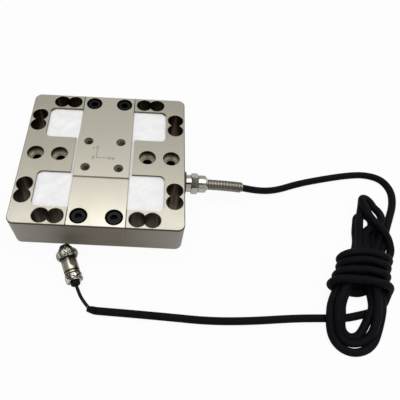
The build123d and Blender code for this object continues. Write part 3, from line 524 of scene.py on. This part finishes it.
hankLoops = [   # across the hank, towards its tip, height
    {
        "down": [(18, 27.5, 6.8), (14, 14, 9.6), (13, 0, 9.9), (16.9, -12, 10.2), (18.2, -24.3, 10.2),
            (17.8, -33, 10.2), (17.9, -41, 7), (17.2, -50, 4.2)],
        "round": [(15.1, -57.8, 3.3), (9.4, -65, 3.3), (1.4, -69.6, 3.3), (-6.8, -70, 3.3),
            (-13.6, -66.6, 3.4), (-18.2, -60.8, 4.4)],
        "up": [(-21.4, -54.2, 8), (-22.6, -47.9, 10.3), (-22.9, -39.6, 10.2), (-21, -29, 10.2),
            (-16.8, -16.7, 10.1), (-11.6, -4, 9.9), (-9.4, 8, 9.6), (-5.2, 20.4, 7.4)],
        "tip": [(-4, 31.9, 6), (-4.6, 40.1, 4.6), (-4.5, 45.9, 3.9), (-4.2, 53.6, 3.7), (-4.4, 58.4, 3.7),
            (-1.8, 62.2, 3.7), (2.4, 63.8, 3.7), (6.8, 62.5, 3.7), (9.6, 58.9, 3.7), (9.8, 54.2, 3.7)],
        "back": [(10.3, 49.1, 3.6), (10.6, 44, 3.5), (10.7, 39.1, 3.9), (10.1, 32.9, 5.6), (8.5, 26, 9)],
    },
    {
        "down": [(9.2, 14, 15.2), (8.6, 0, 15.4), (9.4, -13, 15.8), (11.4, -25.1, 15.9), (12.7, -34.7, 14.4),
            (12.9, -43.5, 11.4), (12.2, -51.1, 7.6)],
        "round": [(8.8, -56.8, 4.2), (3, -61.2, 3.5), (-4.9, -63.5, 3.5), (-12, -60.4, 4.4)],
        "up": [(-16, -54.2, 9.4), (-18, -47.8, 14.2), (-18.8, -40.6, 15.6), (-16.9, -30.2, 15.6),
            (-12.8, -17, 15.6), (-8, -4, 15.4), (-6, 8, 15.2), (-4.2, 20.4, 13.4)],
        "tip": [(-4.7, 28.2, 12.4), (-4.1, 37.2, 11.8), (-4.4, 45.9, 11.4), (-4.3, 53.1, 11.2),
            (-4.1, 60.3, 11.4), (-3.9, 67, 12.3), (-3.1, 76.3, 10.6), (-1, 80.6, 8.2), (3.5, 82.2, 5.6),
            (8.2, 80.2, 3.9), (11.2, 75.4, 3.9)],
        "back": [(16, 72, 3.4), (18.4, 68, 3.4), (20, 62.3, 3.4), (17.8, 54.4, 3.4), (16.2, 46.7, 4.2),
            (15.2, 38.2, 6), (13.3, 29.7, 8.2)],
    },
    {
        "down": [(5.4, 13, 9.6), (5, 0, 9.9), (6.4, -12, 10.2), (9.2, -22.8, 10.3), (10.7, -31.8, 10.2),
            (8.4, -39.8, 7), (7, -46.4, 4.4)],
        "round": [(4.6, -52.6, 3.4), (0.8, -56.8, 3.3), (-4.6, -58.2, 3.3), (-9.6, -55.6, 4.2),
            (-12.4, -50.8, 6.8)],
        "up": [(-13.1, -44.9, 9.7), (-14.3, -37.4, 10.2), (-12.9, -28.1, 10.2), (-9, -16.5, 10.1),
            (-4.8, -4, 9.9), (-2.4, 8, 9.6), (-0.6, 20.4, 9.8)],
        "tip": [(1.9, 27.6, 9.8), (1.2, 34, 10), (1.5, 40.9, 10), (4.9, 46.3, 10), (9.8, 50, 10),
            (14.1, 54.1, 10), (16, 59, 10), (14.9, 63.6, 10), (12.6, 67.6, 10), (8, 70.2, 10.4),
            (5.4, 74.6, 10.4), (1.2, 76.6, 11.9), (-3, 75.8, 14.2), (-5.7, 72.4, 16.5), (-5.7, 67.8, 17.9),
            (-3, 63.4, 17.9)],
        "back": [(-0.9, 58.6, 17.4), (2, 55, 16.8), (6, 51.4, 15.9), (11.3, 47.3, 15.3), (16.3, 43.9, 14),
            (20.6, 39.9, 12), (23.7, 35, 9.6), (25.7, 30.5, 7.2), (26, 26, 4.8), (24, 21.6, 3.5),
            (19.7, 17.6, 3.3), (10.5, 12.6, 3.3)],
    },
]
wraps = {   # the turns round the hank: half widths and places, each from the first to the last
    "left": (19.8, 19.6, 22.2, 26), "right": (20.8, 19.6, 19.4, 21.8), "leftPlace": (5.5, -2.2, -11.5, -20.4),
    "topPlace": (13.4, 6, -3.4, -13.1), "rightPlace": (13.3, 6, -2, -11.2),
    "underShift": (-4, -4, -9, -7.5, -4), "firstShift": 7, "lastShift": -8,
    "middle": 13.1, "bend": 9.8, "pointsPerTurn": 14,
    "lastShare": 0.76,   # the last turn stops at the right side
}


def wrapPoints(w):
    # each turn is straight under and over the hank and half round at its two sides
    points, last = [], len(w["left"]) - 1
    arc = pi * w["bend"]
    for turn in range(last + 1):
        left, top, right = (w[k][turn] for k in ("leftPlace", "topPlace", "rightPlace"))
        before = w["rightPlace"][turn - 1] if turn else right + w["firstShift"]
        after = w["leftPlace"][turn + 1] if turn < last else left + w["lastShift"]
        stations = ((left + before) / 2 + w["underShift"][turn], left, top, right,
                    (right + after) / 2 + w["underShift"][turn + 1])
        for i in range(w["pointsPerTurn"]):
            f = i / w["pointsPerTurn"]
            if turn == last and f > w["lastShare"]:
                break
            k = int(f * 4)
            v = stations[k] + (stations[k + 1] - stations[k]) * (f * 4 - k)
            flat = w["left" if f < 0.5 else "right"][turn] - w["bend"]
            way = (2 * f % 1) * (2 * flat + arc)
            if way < flat:
                x, z = way, -w["bend"]
            elif way < flat + arc:
                a = (way - flat) / w["bend"]
                x, z = flat + w["bend"] * sin(a), -w["bend"] * cos(a)
            else:
                x, z = 2 * flat + arc - way, w["bend"]
            side = -1 if f < 0.5 else 1
            points.append((side * x, v, w["middle"] - side * z))
    return points


def cableRoute():
    local = list(hank["enter"])
    for turns in hankLoops:
        for stretch in ("down", "round", "up", "tip", "back"):
            local += turns[stretch]
    local += wrapPoints(wraps) + hank["leave"]
    (cx, cy), a, b = (hank[k] for k in ("centre", "across", "along"))
    inside = [(cx + a[0] * w + b[0] * v, cy + a[1] * w + b[1] * v, z) for w, v, z in local]
    return [tuple(x * 0.001 for x in p) for p in cableIn + inside + cableOut]


def splineLine(route):
    # the route's line, smoothed by Blender's own spline
    data = bpy.data.curves.new("line", "CURVE")
    data.dimensions = "3D"
    spline = data.splines.new("NURBS")
    spline.points.add(len(route) - 1)
    for point, place in zip(spline.points, route):
        point.co = (*place, 1)
    spline.order_u = 3
    spline.use_endpoint_u = True
    spline.resolution_u = data.resolution_u = 16
    obj = addObject("line", data)
    mesh = evaluatedMesh(obj)
    line = [v.co.copy() for v in mesh.vertices]
    bpy.data.meshes.remove(mesh)
    bpy.data.objects.remove(obj)
    return line


def evenLine(line, step):
    # the same line at even steps, and its length
    total = sum((b - a).length for a, b in zip(line, line[1:]))
    count = max(2, round(total / step))
    out, need, walked = [line[0].copy()], total / count, 0.0
    for a, b in zip(line, line[1:]):
        d = (b - a).length
        while d > 0 and walked + d >= need * len(out) and len(out) < count:
            out.append(a.lerp(b, (need * len(out) - walked) / d))
        walked += d
    out.append(line[-1].copy())
    return out, total


def lineFrames(line):
    # two sides at each point, turning as little as possible
    frames, side = [], None
    for i, p in enumerate(line):
        t = (line[min(i + 1, len(line) - 1)] - line[max(i - 1, 0)]).normalized()
        if side is None:
            side = Vector((0, 0, 1)).cross(t).normalized()
        side = (side - t * side.dot(t)).normalized()
        frames.append((p, side, t.cross(side)))
    return frames


def tubeMesh(name, line, radius, sides):
    # radius is a number, or a function of the share along
    bm = bmesh.new()
    uv = bm.loops.layers.uv.new("UVMap")
    rings, far = [], [0.0]
    for a, b in zip(line, line[1:]):
        far.append(far[-1] + (b - a).length)
    for i, (p, s, n) in enumerate(lineFrames(line)):
        r = radius(i / (len(line) - 1)) if callable(radius) else radius
        angles = [2 * pi * k / sides for k in range(sides)]
        rings.append([bm.verts.new(p + r * (cos(a) * s + sin(a) * n)) for a in angles])
    for i in range(len(rings) - 1):
        for k in range(sides):
            j = (k + 1) % sides
            face = bm.faces.new((rings[i][k], rings[i][j], rings[i + 1][j], rings[i + 1][k]))
            face.smooth = True
            for loop, u, v in zip(face.loops, (k, k + 1, k + 1, k), (i, i, i + 1, i + 1)):
                loop[uv].uv = (u / sides, far[v])
    bm.faces.new(list(reversed(rings[0])))
    bm.faces.new(rings[-1])
    return meshFrom(bm, name)


def cordPiece(name, route, values, finish):
    path, length = evenLine(splineLine(route), values["step"])
    mesh = tubeMesh(name, path, values["diameter"] / 2, values["sides"])
    print("stage: %s, %.4f m" % (name, length))
    return addObject(name, mesh, paint[finish]), path


# the cut end of the braided sleeve, ragged, with a few loose threads
tail = {
    "start": (0.0046, -0.1356, 0.0033), "end": (-0.0024, -0.1341, 0.0028), "radii": (0.0033, 0.0024),
    "rings": 10, "sides": 16, "ragged": 0.0005, "raggedStep": 2.4,
    "threads": 8, "firstAngle": 0.5, "threadRing": 0.8, "threadInset": 0.0004, "threadRadius": 0.0001,
    "threadSides": 5, "threadLength": 0.0022, "lengthWave": (0.6, 0.4, 3.1), "flare": 0.25,
    "curl": (0.2, 5.0), "lowest": 0.0003,
}


def tailPieces(t):
    start, end = Vector(t["start"]), Vector(t["end"])
    along = (end - start).normalized()
    line = [start.lerp(end, i / t["rings"]) for i in range(t["rings"] + 1)]
    first, last = t["radii"]
    mesh = tubeMesh("sleeve_tail", line, lambda f: first + (last - first) * f * f, t["sides"])
    for k, v in enumerate(mesh.vertices[-t["sides"]:]):
        v.co += along * t["ragged"] * sin(t["raggedStep"] * k)
    side = Vector((0, 0, 1)).cross(along).normalized()
    least, more, wave = t["lengthWave"]
    bm = bmesh.new()
    for k in range(t["threads"]):
        angle = 2 * pi * k / t["threads"] + t["firstAngle"]
        out = cos(angle) * side + sin(angle) * along.cross(side)
        root = end + out * last * t["threadRing"] - along * t["threadInset"]
        length = t["threadLength"] * (least + more * sin(wave * k))
        bend = out * t["flare"] + side * t["curl"][0] * sin(t["curl"][1] * k)
        points = [root + along * length * f + bend * length * f * f for f in (0, 0.25, 0.5, 0.75, 1)]
        for p in points:
            p.z = max(p.z, t["lowest"])
        thread = tubeMesh("thread", points, t["threadRadius"], t["threadSides"])
        bm.from_mesh(thread)
        bpy.data.meshes.remove(thread)
    threads = meshFrom(bm, "sleeve_threads")
    return (addObject("sleeve_tail", mesh, paint["braided sleeve"]),
            addObject("sleeve_threads", threads, paint["loose fibre"]))


tailPiece, threadsPiece = tailPieces(tail)
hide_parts("sleeve_end")
for piece in (tailPiece, threadsPiece):
    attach(piece, "sensor")

cable = {"diameter": 0.0066, "step": 0.0016, "sides": 16}
cablePiece, cablePath = cordPiece("sleeved_cable", cableRoute(), cable, "braided sleeve")
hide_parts("cable_run_in", "cable_hank", "cable_run_out")
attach(cablePiece, "sensor")

lead = {"diameter": 0.0029, "step": 0.0006, "sides": 14, "behindPlug": 0.009, "insidePlug": 0.006}
leadRoute = [
    (-0.0015, -0.1332, 0.002), (-0.0065, -0.1282, 0.0015),
    tuple(plug["origin"] - plug["axis"] * lead["behindPlug"]),
    tuple(plug["origin"] + plug["axis"] * lead["insidePlug"])]
leadPiece, leadPath = cordPiece("thin_lead", leadRoute, lead, "lead jacket")
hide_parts("plug_lead")
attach(leadPiece, "sensor")
# the strain relief spring: a close coil round the cable's first stretch
spring = {"start": 0.0938, "length": 0.0348, "outer": 0.0101, "wire": 0.0013, "turns": 25,
          "pointsPerTurn": 20, "corners": 8}


def coilWire(tree, given):
    curve = addNode(tree, "GeometryNodeMeshToCurve", {0: given["Geometry"]})
    count = mathNode(tree, "ADD", product(tree, given["Turns"], given["Points per Turn"]), 1)
    even = addNode(tree, "GeometryNodeResampleCurve", {0: curve, "Count": count})
    index = tree.nodes.new("GeometryNodeInputIndex")
    angle = product(tree, mathNode(tree, "DIVIDE", index, given["Points per Turn"]), 2 * pi)
    normal = tree.nodes.new("GeometryNodeInputNormal")
    across = vectorMath(tree, "CROSS_PRODUCT", tree.nodes.new("GeometryNodeInputTangent"), normal)
    parts = []
    for side, wave in ((normal, "COSINE"), (across, "SINE")):
        reach = product(tree, mathNode(tree, wave, angle), given["Radius"])
        parts.append(addNode(tree, "ShaderNodeVectorMath", {0: side, "Scale": reach}, operation="SCALE"))
    move = addNode(tree, "GeometryNodeSetPosition", {0: even, "Offset": vectorMath(tree, "ADD", *parts)})
    tube = sweep(tree, move, given["Wire"], given["Corners"])
    return addNode(tree, "GeometryNodeSetShadeSmooth", {0: tube})


def pathStretch(path, start, length):
    # the part of an even path from x = start on, of that length
    first = next(i for i, p in enumerate(path) if p.x >= start)
    step = (path[1] - path[0]).length
    return path[first:first + round(length / step) + 1]


springLine = pointsMesh("spring line", pathStretch(cablePath, spring["start"], spring["length"]), True)
springPiece = growPiece("spring_coil", springLine, coilWire, {
    "Radius": (spring["outer"] - spring["wire"]) / 2, "Wire": spring["wire"] / 2, "Turns": spring["turns"],
    "Points per Turn": spring["pointsPerTurn"], "Corners": spring["corners"],
    "Material": paint["spring steel"]})
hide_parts("strain_relief_spring")
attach(springPiece, "sensor")
print("stage: spring coil")


# knurling on the plug's two grip rings
knurlRows, knurlBlunt = 3, 0.3   # rows on each ring, and how blunt a point is
knurls = {   # radii at both ends, and places along the plug's axis
    "clamp_ring_knurl": {
        "radius": (0.007, 0.007), "start": 0.0006, "length": 0.005, "around": 22, "size": 0.00098,
        "height": 0.00042, "body": "sensor", "finish": "clamp ring nickel"},
    "grip_knurl": {
        "radius": (0.0091, 0.0091), "start": 0.0234, "length": 0.0031, "around": 40, "size": 0.00072,
        "height": 0.00034, "body": "coupling_ring", "finish": "knurled nickel"},
    "shoulder_knurl": {
        "radius": (0.0089, 0.0062), "start": 0.0268, "length": 0.0025, "around": 36, "size": 0.0006,
        "height": 0.0003, "body": "coupling_ring", "finish": "knurled nickel"},
}


def knurlPoints(tree, given):
    # rows of blunt four-sided points round an axis, each row half a step on from the last
    index = tree.nodes.new("GeometryNodeInputIndex")
    row = mathNode(tree, "FLOOR", mathNode(tree, "DIVIDE", mathNode(tree, "ADD", index, 0.5), given["Around"]))
    place = mathNode(tree, "SUBTRACT", index, product(tree, row, given["Around"]))
    shifted = mathNode(tree, "ADD", place, product(tree, mathNode(tree, "MODULO", row, 2), 0.5))
    angle = product(tree, mathNode(tree, "DIVIDE", shifted, given["Around"]), 2 * pi)
    middle = mathNode(tree, "ADD", row, 0.5)
    along = mathNode(tree, "DIVIDE", product(tree, middle, given["Length"]), given["Rows"])
    radius = mathNode(tree, "ADD", given["Radius"], product(tree, row, given["Radius Step"]))
    spot = vectorFrom(
        tree, product(tree, mathNode(tree, "COSINE", angle), radius),
        product(tree, mathNode(tree, "SINE", angle), radius), mathNode(tree, "ADD", along, given["Start"]))
    count = product(tree, given["Around"], given["Rows"])
    points = addNode(tree, "GeometryNodePoints", {"Count": count, "Position": spot})
    point = addNode(tree, "GeometryNodeMeshCone", {
        "Vertices": 4, "Side Segments": 1, "Radius Top": product(tree, given["Size"], given["Blunt"]),
        "Radius Bottom": given["Size"], "Depth": given["Height"]})
    turn = addNode(tree, "FunctionNodeEulerToRotation", {0: vectorFrom(tree, 0.0, pi / 2, angle)})
    return addNode(tree, "GeometryNodeInstanceOnPoints", {0: points, "Instance": point, "Rotation": turn})


plugPlace = Matrix.Translation(plug["origin"]) @ plug["axis"].to_track_quat("Z", "Y").to_matrix().to_4x4()
for name, k in knurls.items():
    piece = growPiece(name, pointsMesh(name, [(0, 0, 0)]), knurlPoints, {
        "Radius": k["radius"][0], "Radius Step": (k["radius"][1] - k["radius"][0]) / knurlRows,
        "Start": k["start"], "Length": k["length"], "Around": k["around"], "Rows": knurlRows,
        "Size": k["size"], "Height": k["height"], "Blunt": knurlBlunt, "Material": paint[k["finish"]]
    }, plugPlace)
    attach(piece, k["body"])
print("stage: knurling")


# threads in the four load holes
threads = {"spacing": 0.03, "radius": 0.0034, "ridge": 0.00042, "pitch": 0.00125, "turns": 11.0,
           "low": 0.0228, "pointsPerTurn": 24, "corners": 4}


def threadRidge(tree, given):
    spiral = addNode(tree, "GeometryNodeCurveSpiral", {
        "Resolution": given["Points per Turn"], "Rotations": given["Turns"], "Start Radius": given["Radius"],
        "End Radius": given["Radius"], "Height": product(tree, given["Turns"], given["Pitch"])})
    ridge = sweep(tree, spiral, given["Ridge"], given["Corners"])
    return addNode(tree, "GeometryNodeInstanceOnPoints", {0: given["Geometry"], "Instance": ridge})


corner = threads["spacing"] / 2
holePoints = [(x, y, threads["low"]) for x in (-corner, corner) for y in (-corner, corner)]
threadPiece = growPiece("load_hole_threads", pointsMesh("load holes", holePoints), threadRidge, {
    "Radius": threads["radius"], "Ridge": threads["ridge"], "Pitch": threads["pitch"],
    "Turns": threads["turns"], "Points per Turn": threads["pointsPerTurn"], "Corners": threads["corners"],
    "Material": paint["thread metal"]})
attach(threadPiece, "sensor")
print("stage: threads")


# silicone in the windows, a little higher where it wets the walls
fill = {
    "bar": 0.025, "outer": 0.057, "block": 0.0275, "blockHalf": 0.02, "corner": 0.005, "low": 0.0035,
    "top": 0.0335, "meniscus": 0.0007, "reach": 0.0011, "wave": 0.0005, "calm": 0.004, "step": 0.001,
    "lowShare": 0.6,
}


def fillMesh(name, side, f):
    def steps(low, high, count):
        return [low + (high - low) * i / count for i in range(count)]

    def evenSteps(low, high):
        return steps(low, high, round((high - low) / f["step"]))

    def place(x, y):
        # the two far corners are round, like the window's
        middle = f["outer"] - f["corner"]
        a, b = x - middle, abs(y) - middle
        if a > 0 and b > 0:
            share = max(a, b) / (a * a + b * b) ** 0.5
            x, y = middle + a * share, copysign(middle + b * share, y)
        return x, y

    def rise(x, y):
        walls = [x - f["bar"], f["outer"] - x, f["outer"] - abs(y)]
        if x > f["block"]:
            walls.append(abs(y) - f["blockHalf"])
        elif abs(y) < f["blockHalf"]:
            walls.append(f["block"] - x)
        near = max(0.0, min(walls))
        # slow lumps with smaller ones on them, calm near the walls
        wave = sin(230 * x + 1.3 * sin(190 * y) + side) * sin(210 * y + 0.7 * side + 1.1 * sin(170 * x))
        wave += 0.5 * sin(520 * x + 2.1 * sin(300 * y)) * sin(470 * y + 1.7 * side)
        wetting = f["meniscus"] * (1 - min(1.0, near / f["reach"])) ** 2
        return wetting + f["wave"] * wave * min(1.0, near / f["calm"])

    xs = steps(f["bar"], f["block"], 3) + evenSteps(f["block"], f["outer"]) + [f["outer"]]
    ys = [-f["outer"], -f["blockHalf"], f["blockHalf"], f["outer"]]
    ys = [y for low, high in zip(ys, ys[1:]) for y in evenSteps(low, high)] + [f["outer"]]
    bm = bmesh.new()
    top, low = {}, {}
    for i in range(len(xs) - 1):
        for j in range(len(ys) - 1):
            if (xs[i] + xs[i + 1]) / 2 > f["block"] and abs(ys[j] + ys[j + 1]) / 2 < f["blockHalf"]:
                continue   # the side block stands here
            ring = [(i, j), (i + 1, j), (i + 1, j + 1), (i, j + 1)]
            for key in ring:
                if key not in top:
                    x, y = place(xs[key[0]], ys[key[1]])
                    h = rise(x, y)
                    top[key] = bm.verts.new((side * x, y, f["top"] + h))
                    low[key] = bm.verts.new((side * x, y, f["low"] - f["lowShare"] * h))
            bm.faces.new([top[k] for k in ring]).smooth = True
            bm.faces.new([low[k] for k in reversed(ring)]).smooth = True
    under = {top[key]: low[key] for key in top}
    for a, b in [e.verts for e in bm.edges if e.is_boundary and e.verts[0] in under]:
        bm.faces.new([a, b, under[b], under[a]])
    bmesh.ops.recalc_face_normals(bm, faces=bm.faces)
    return meshFrom(bm, name)


for name, node, side in (("silicone_left", "potting_left", -1), ("silicone_right", "potting_right", 1)):
    piece = addObject(name, fillMesh(name, side, fill), paint["silicone"])
    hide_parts(node)
    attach(piece, "sensor")
print("stage: silicone")


# the axis mark on the island: two arms, two rings and the letters X, Y, Z
mark = {
    "origin": (-0.006, -0.004), "arm": 0.012, "line": 0.00042, "top": 0.03752, "depth": 0.00012,
    "lift": 0.000002, "ring": 0.0015, "ringShare": 0.86, "ringSides": 20, "ringLine": 0.9, "letterLine": 1.15,
    "height": 0.0022,
    "strokes": {   # letters in units of their height, each a list of strokes
        "X": [((-0.4, -0.5), (0.4, 0.5)), ((-0.4, 0.5), (0.4, -0.5))],
        "Y": [((-0.4, 0.5), (0, 0)), ((0.4, 0.5), (0, 0)), ((0, 0), (0, -0.5))],
        "Z": [((-0.4, 0.5), (0.4, 0.5)), ((0.4, 0.5), (-0.4, -0.5)), ((-0.4, -0.5), (0.4, -0.5))],
    },
    "letters": {"X": (0.0092, -0.0044), "Y": (-0.0094, 0.0068), "Z": (-0.009, -0.0042)},
}


def addStroke(bm, a, b, width, top, depth):
    a, b = Vector(a), Vector(b)
    d = (b - a).normalized()
    n = Vector((-d.y, d.x)) * width / 2
    a, b = a - d * width / 2, b + d * width / 2
    ring = [a - n, b - n, b + n, a + n]
    high, low = ([bm.verts.new((p.x, p.y, z)) for p in ring] for z in (top, top - depth))
    bm.faces.new(high)
    bm.faces.new(list(reversed(low)))
    for i in range(4):
        j = (i + 1) % 4
        bm.faces.new((high[j], high[i], low[i], low[j]))


def markMesh(m):
    # strokes that cross lie at slightly different heights
    bm = bmesh.new()
    ox, oy = m["origin"]
    arm, line, count, size = m["arm"] - m["ring"], m["line"], m["ringSides"], m["height"]
    for dx, dy in ((1, 0), (0, 1)):
        addStroke(bm, (ox, oy), (ox + arm * dx, oy + arm * dy), line, m["top"], m["depth"])
        cx, cy, r = ox + m["arm"] * dx, oy + m["arm"] * dy, m["ring"] * m["ringShare"]
        points = [(cx + r * cos(2 * pi * i / count), cy + r * sin(2 * pi * i / count)) for i in range(count)]
        for i in range(count):
            addStroke(bm, points[i], points[(i + 1) % count], line * m["ringLine"],
                      m["top"] - m["lift"] * (i % 3), m["depth"])
    for letter, (x, y) in m["letters"].items():
        for k, ends in enumerate(m["strokes"][letter]):
            a, b = ((x + u * size, y + v * size) for u, v in ends)
            addStroke(bm, a, b, line * m["letterLine"], m["top"] - m["lift"] * k, m["depth"])
    bmesh.ops.recalc_face_normals(bm, faces=bm.faces)
    return meshFrom(bm, "axis mark")


markPiece = addObject("axis_mark", markMesh(mark), paint["mark"])
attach(markPiece, "sensor")
print("stage: axis mark")


# floor and light
studio = {
    "floor": 0.6, "floorHalf": 3, "underPaintedShade": (0.4, 0.35, 0.29), "underEdge": (0.0718, 0.0715),
    "zenith": 0.75, "horizon": 0.3, "zenithHeight": 0.9,
    "seenFloor": 0.94, "mirrorFloor": 0.3, "mirrorSky": 0.2,   # shares of plain white
    "topPower": 10.5, "topSize": (1.3, 1.0), "topPlace": (0.1, 0.05, 1.15), "topAim": (0.1, 0.0, 0.0),
    "cardHalf": 0.11, "cardBack": 0.03, "cardTone": (0.012, 0.011, 0.01),
}


def showWhite(tree, output, lit, white, seen, mirrorShare):
    # the camera sees plain white, mirrors a share of it, and the object gets the lit shader
    path = addNode(tree, "ShaderNodeLightPath").outputs
    mirrored = mathNode(tree, "MAXIMUM", path["Is Glossy Ray"], path["Is Transmission Ray"])
    direct = product(tree, path["Is Camera Ray"], seen)
    share = mathNode(tree, "MAXIMUM", direct, product(tree, mirrored, mirrorShare))
    mix = addNode(tree, "ShaderNodeMixShader", {0: share, 1: lit, 2: white})
    addNode(tree, output, {0: mix})


def addFloor(s):
    mat = bpy.data.materials.new("floor")
    mat.use_nodes = True
    tree = mat.node_tree
    tree.nodes.clear()
    # the table under the body, seen only through its bores, gets a painted shade: a darker tone and none of
    # the plain white
    x, y = bodySides(tree, objectVector(tree))[:2]
    under = fade(tree, mathNode(tree, "MAXIMUM", x, y), *s["underEdge"])
    tone = mixColour(tree, under, (s["floor"],) * 3, s["underPaintedShade"])
    plain = addNode(tree, "ShaderNodeBsdfDiffuse", {"Color": tone})
    white = addNode(tree, "ShaderNodeEmission", {"Color": (1, 1, 1)})
    seen = product(tree, mathNode(tree, "SUBTRACT", 1.0, under), s["seenFloor"])
    showWhite(tree, "ShaderNodeOutputMaterial", plain, white, seen, s["mirrorFloor"])
    floor = addObject("floor", plateMesh("floor", s["floorHalf"]), mat)


def addCard(s):
    # a dark card behind the camera, which only the metal mirrors
    mat = newMaterial("dark card", s["cardTone"], 0.9, shine=0.0)[0]
    card = addObject("dark_card", plateMesh("dark card", s["cardHalf"]), mat)
    card.matrix_world = scene.camera.matrix_world @ Matrix.Translation((0, 0, s["cardBack"]))
    card.visible_camera = card.visible_diffuse = card.visible_shadow = card.visible_transmission = False


def addWorld(s):
    world = bpy.data.worlds.new("studio")
    scene.world = world
    world.use_nodes = True
    tree = world.node_tree
    tree.nodes.clear()
    up = addNode(tree, "ShaderNodeSeparateXYZ", {0: addNode(tree, "ShaderNodeTexCoord").outputs["Generated"]})
    level = fade(tree, up.outputs[2], 0.0, s["zenithHeight"], s["horizon"], s["zenith"])
    soft = addNode(tree, "ShaderNodeBackground", {"Color": (1, 1, 1), "Strength": level})
    white = addNode(tree, "ShaderNodeBackground", {"Color": (1, 1, 1)})
    showWhite(tree, "ShaderNodeOutputWorld", soft, white, 1.0, s["mirrorSky"])


def addLamp(s):
    data = bpy.data.lights.new("top box", "AREA")
    data.shape = "RECTANGLE"
    data.size, data.size_y = s["topSize"]
    data.energy = s["topPower"]
    lamp = addObject("top box", data)
    lamp.location = s["topPlace"]
    lamp.rotation_euler = (Vector(s["topAim"]) - lamp.location).to_track_quat("-Z", "Y").to_euler()


addFloor(studio)
addCard(studio)
addWorld(studio)
addLamp(studio)
scene.view_settings.view_transform = "Standard"
print("stage: floor and light")
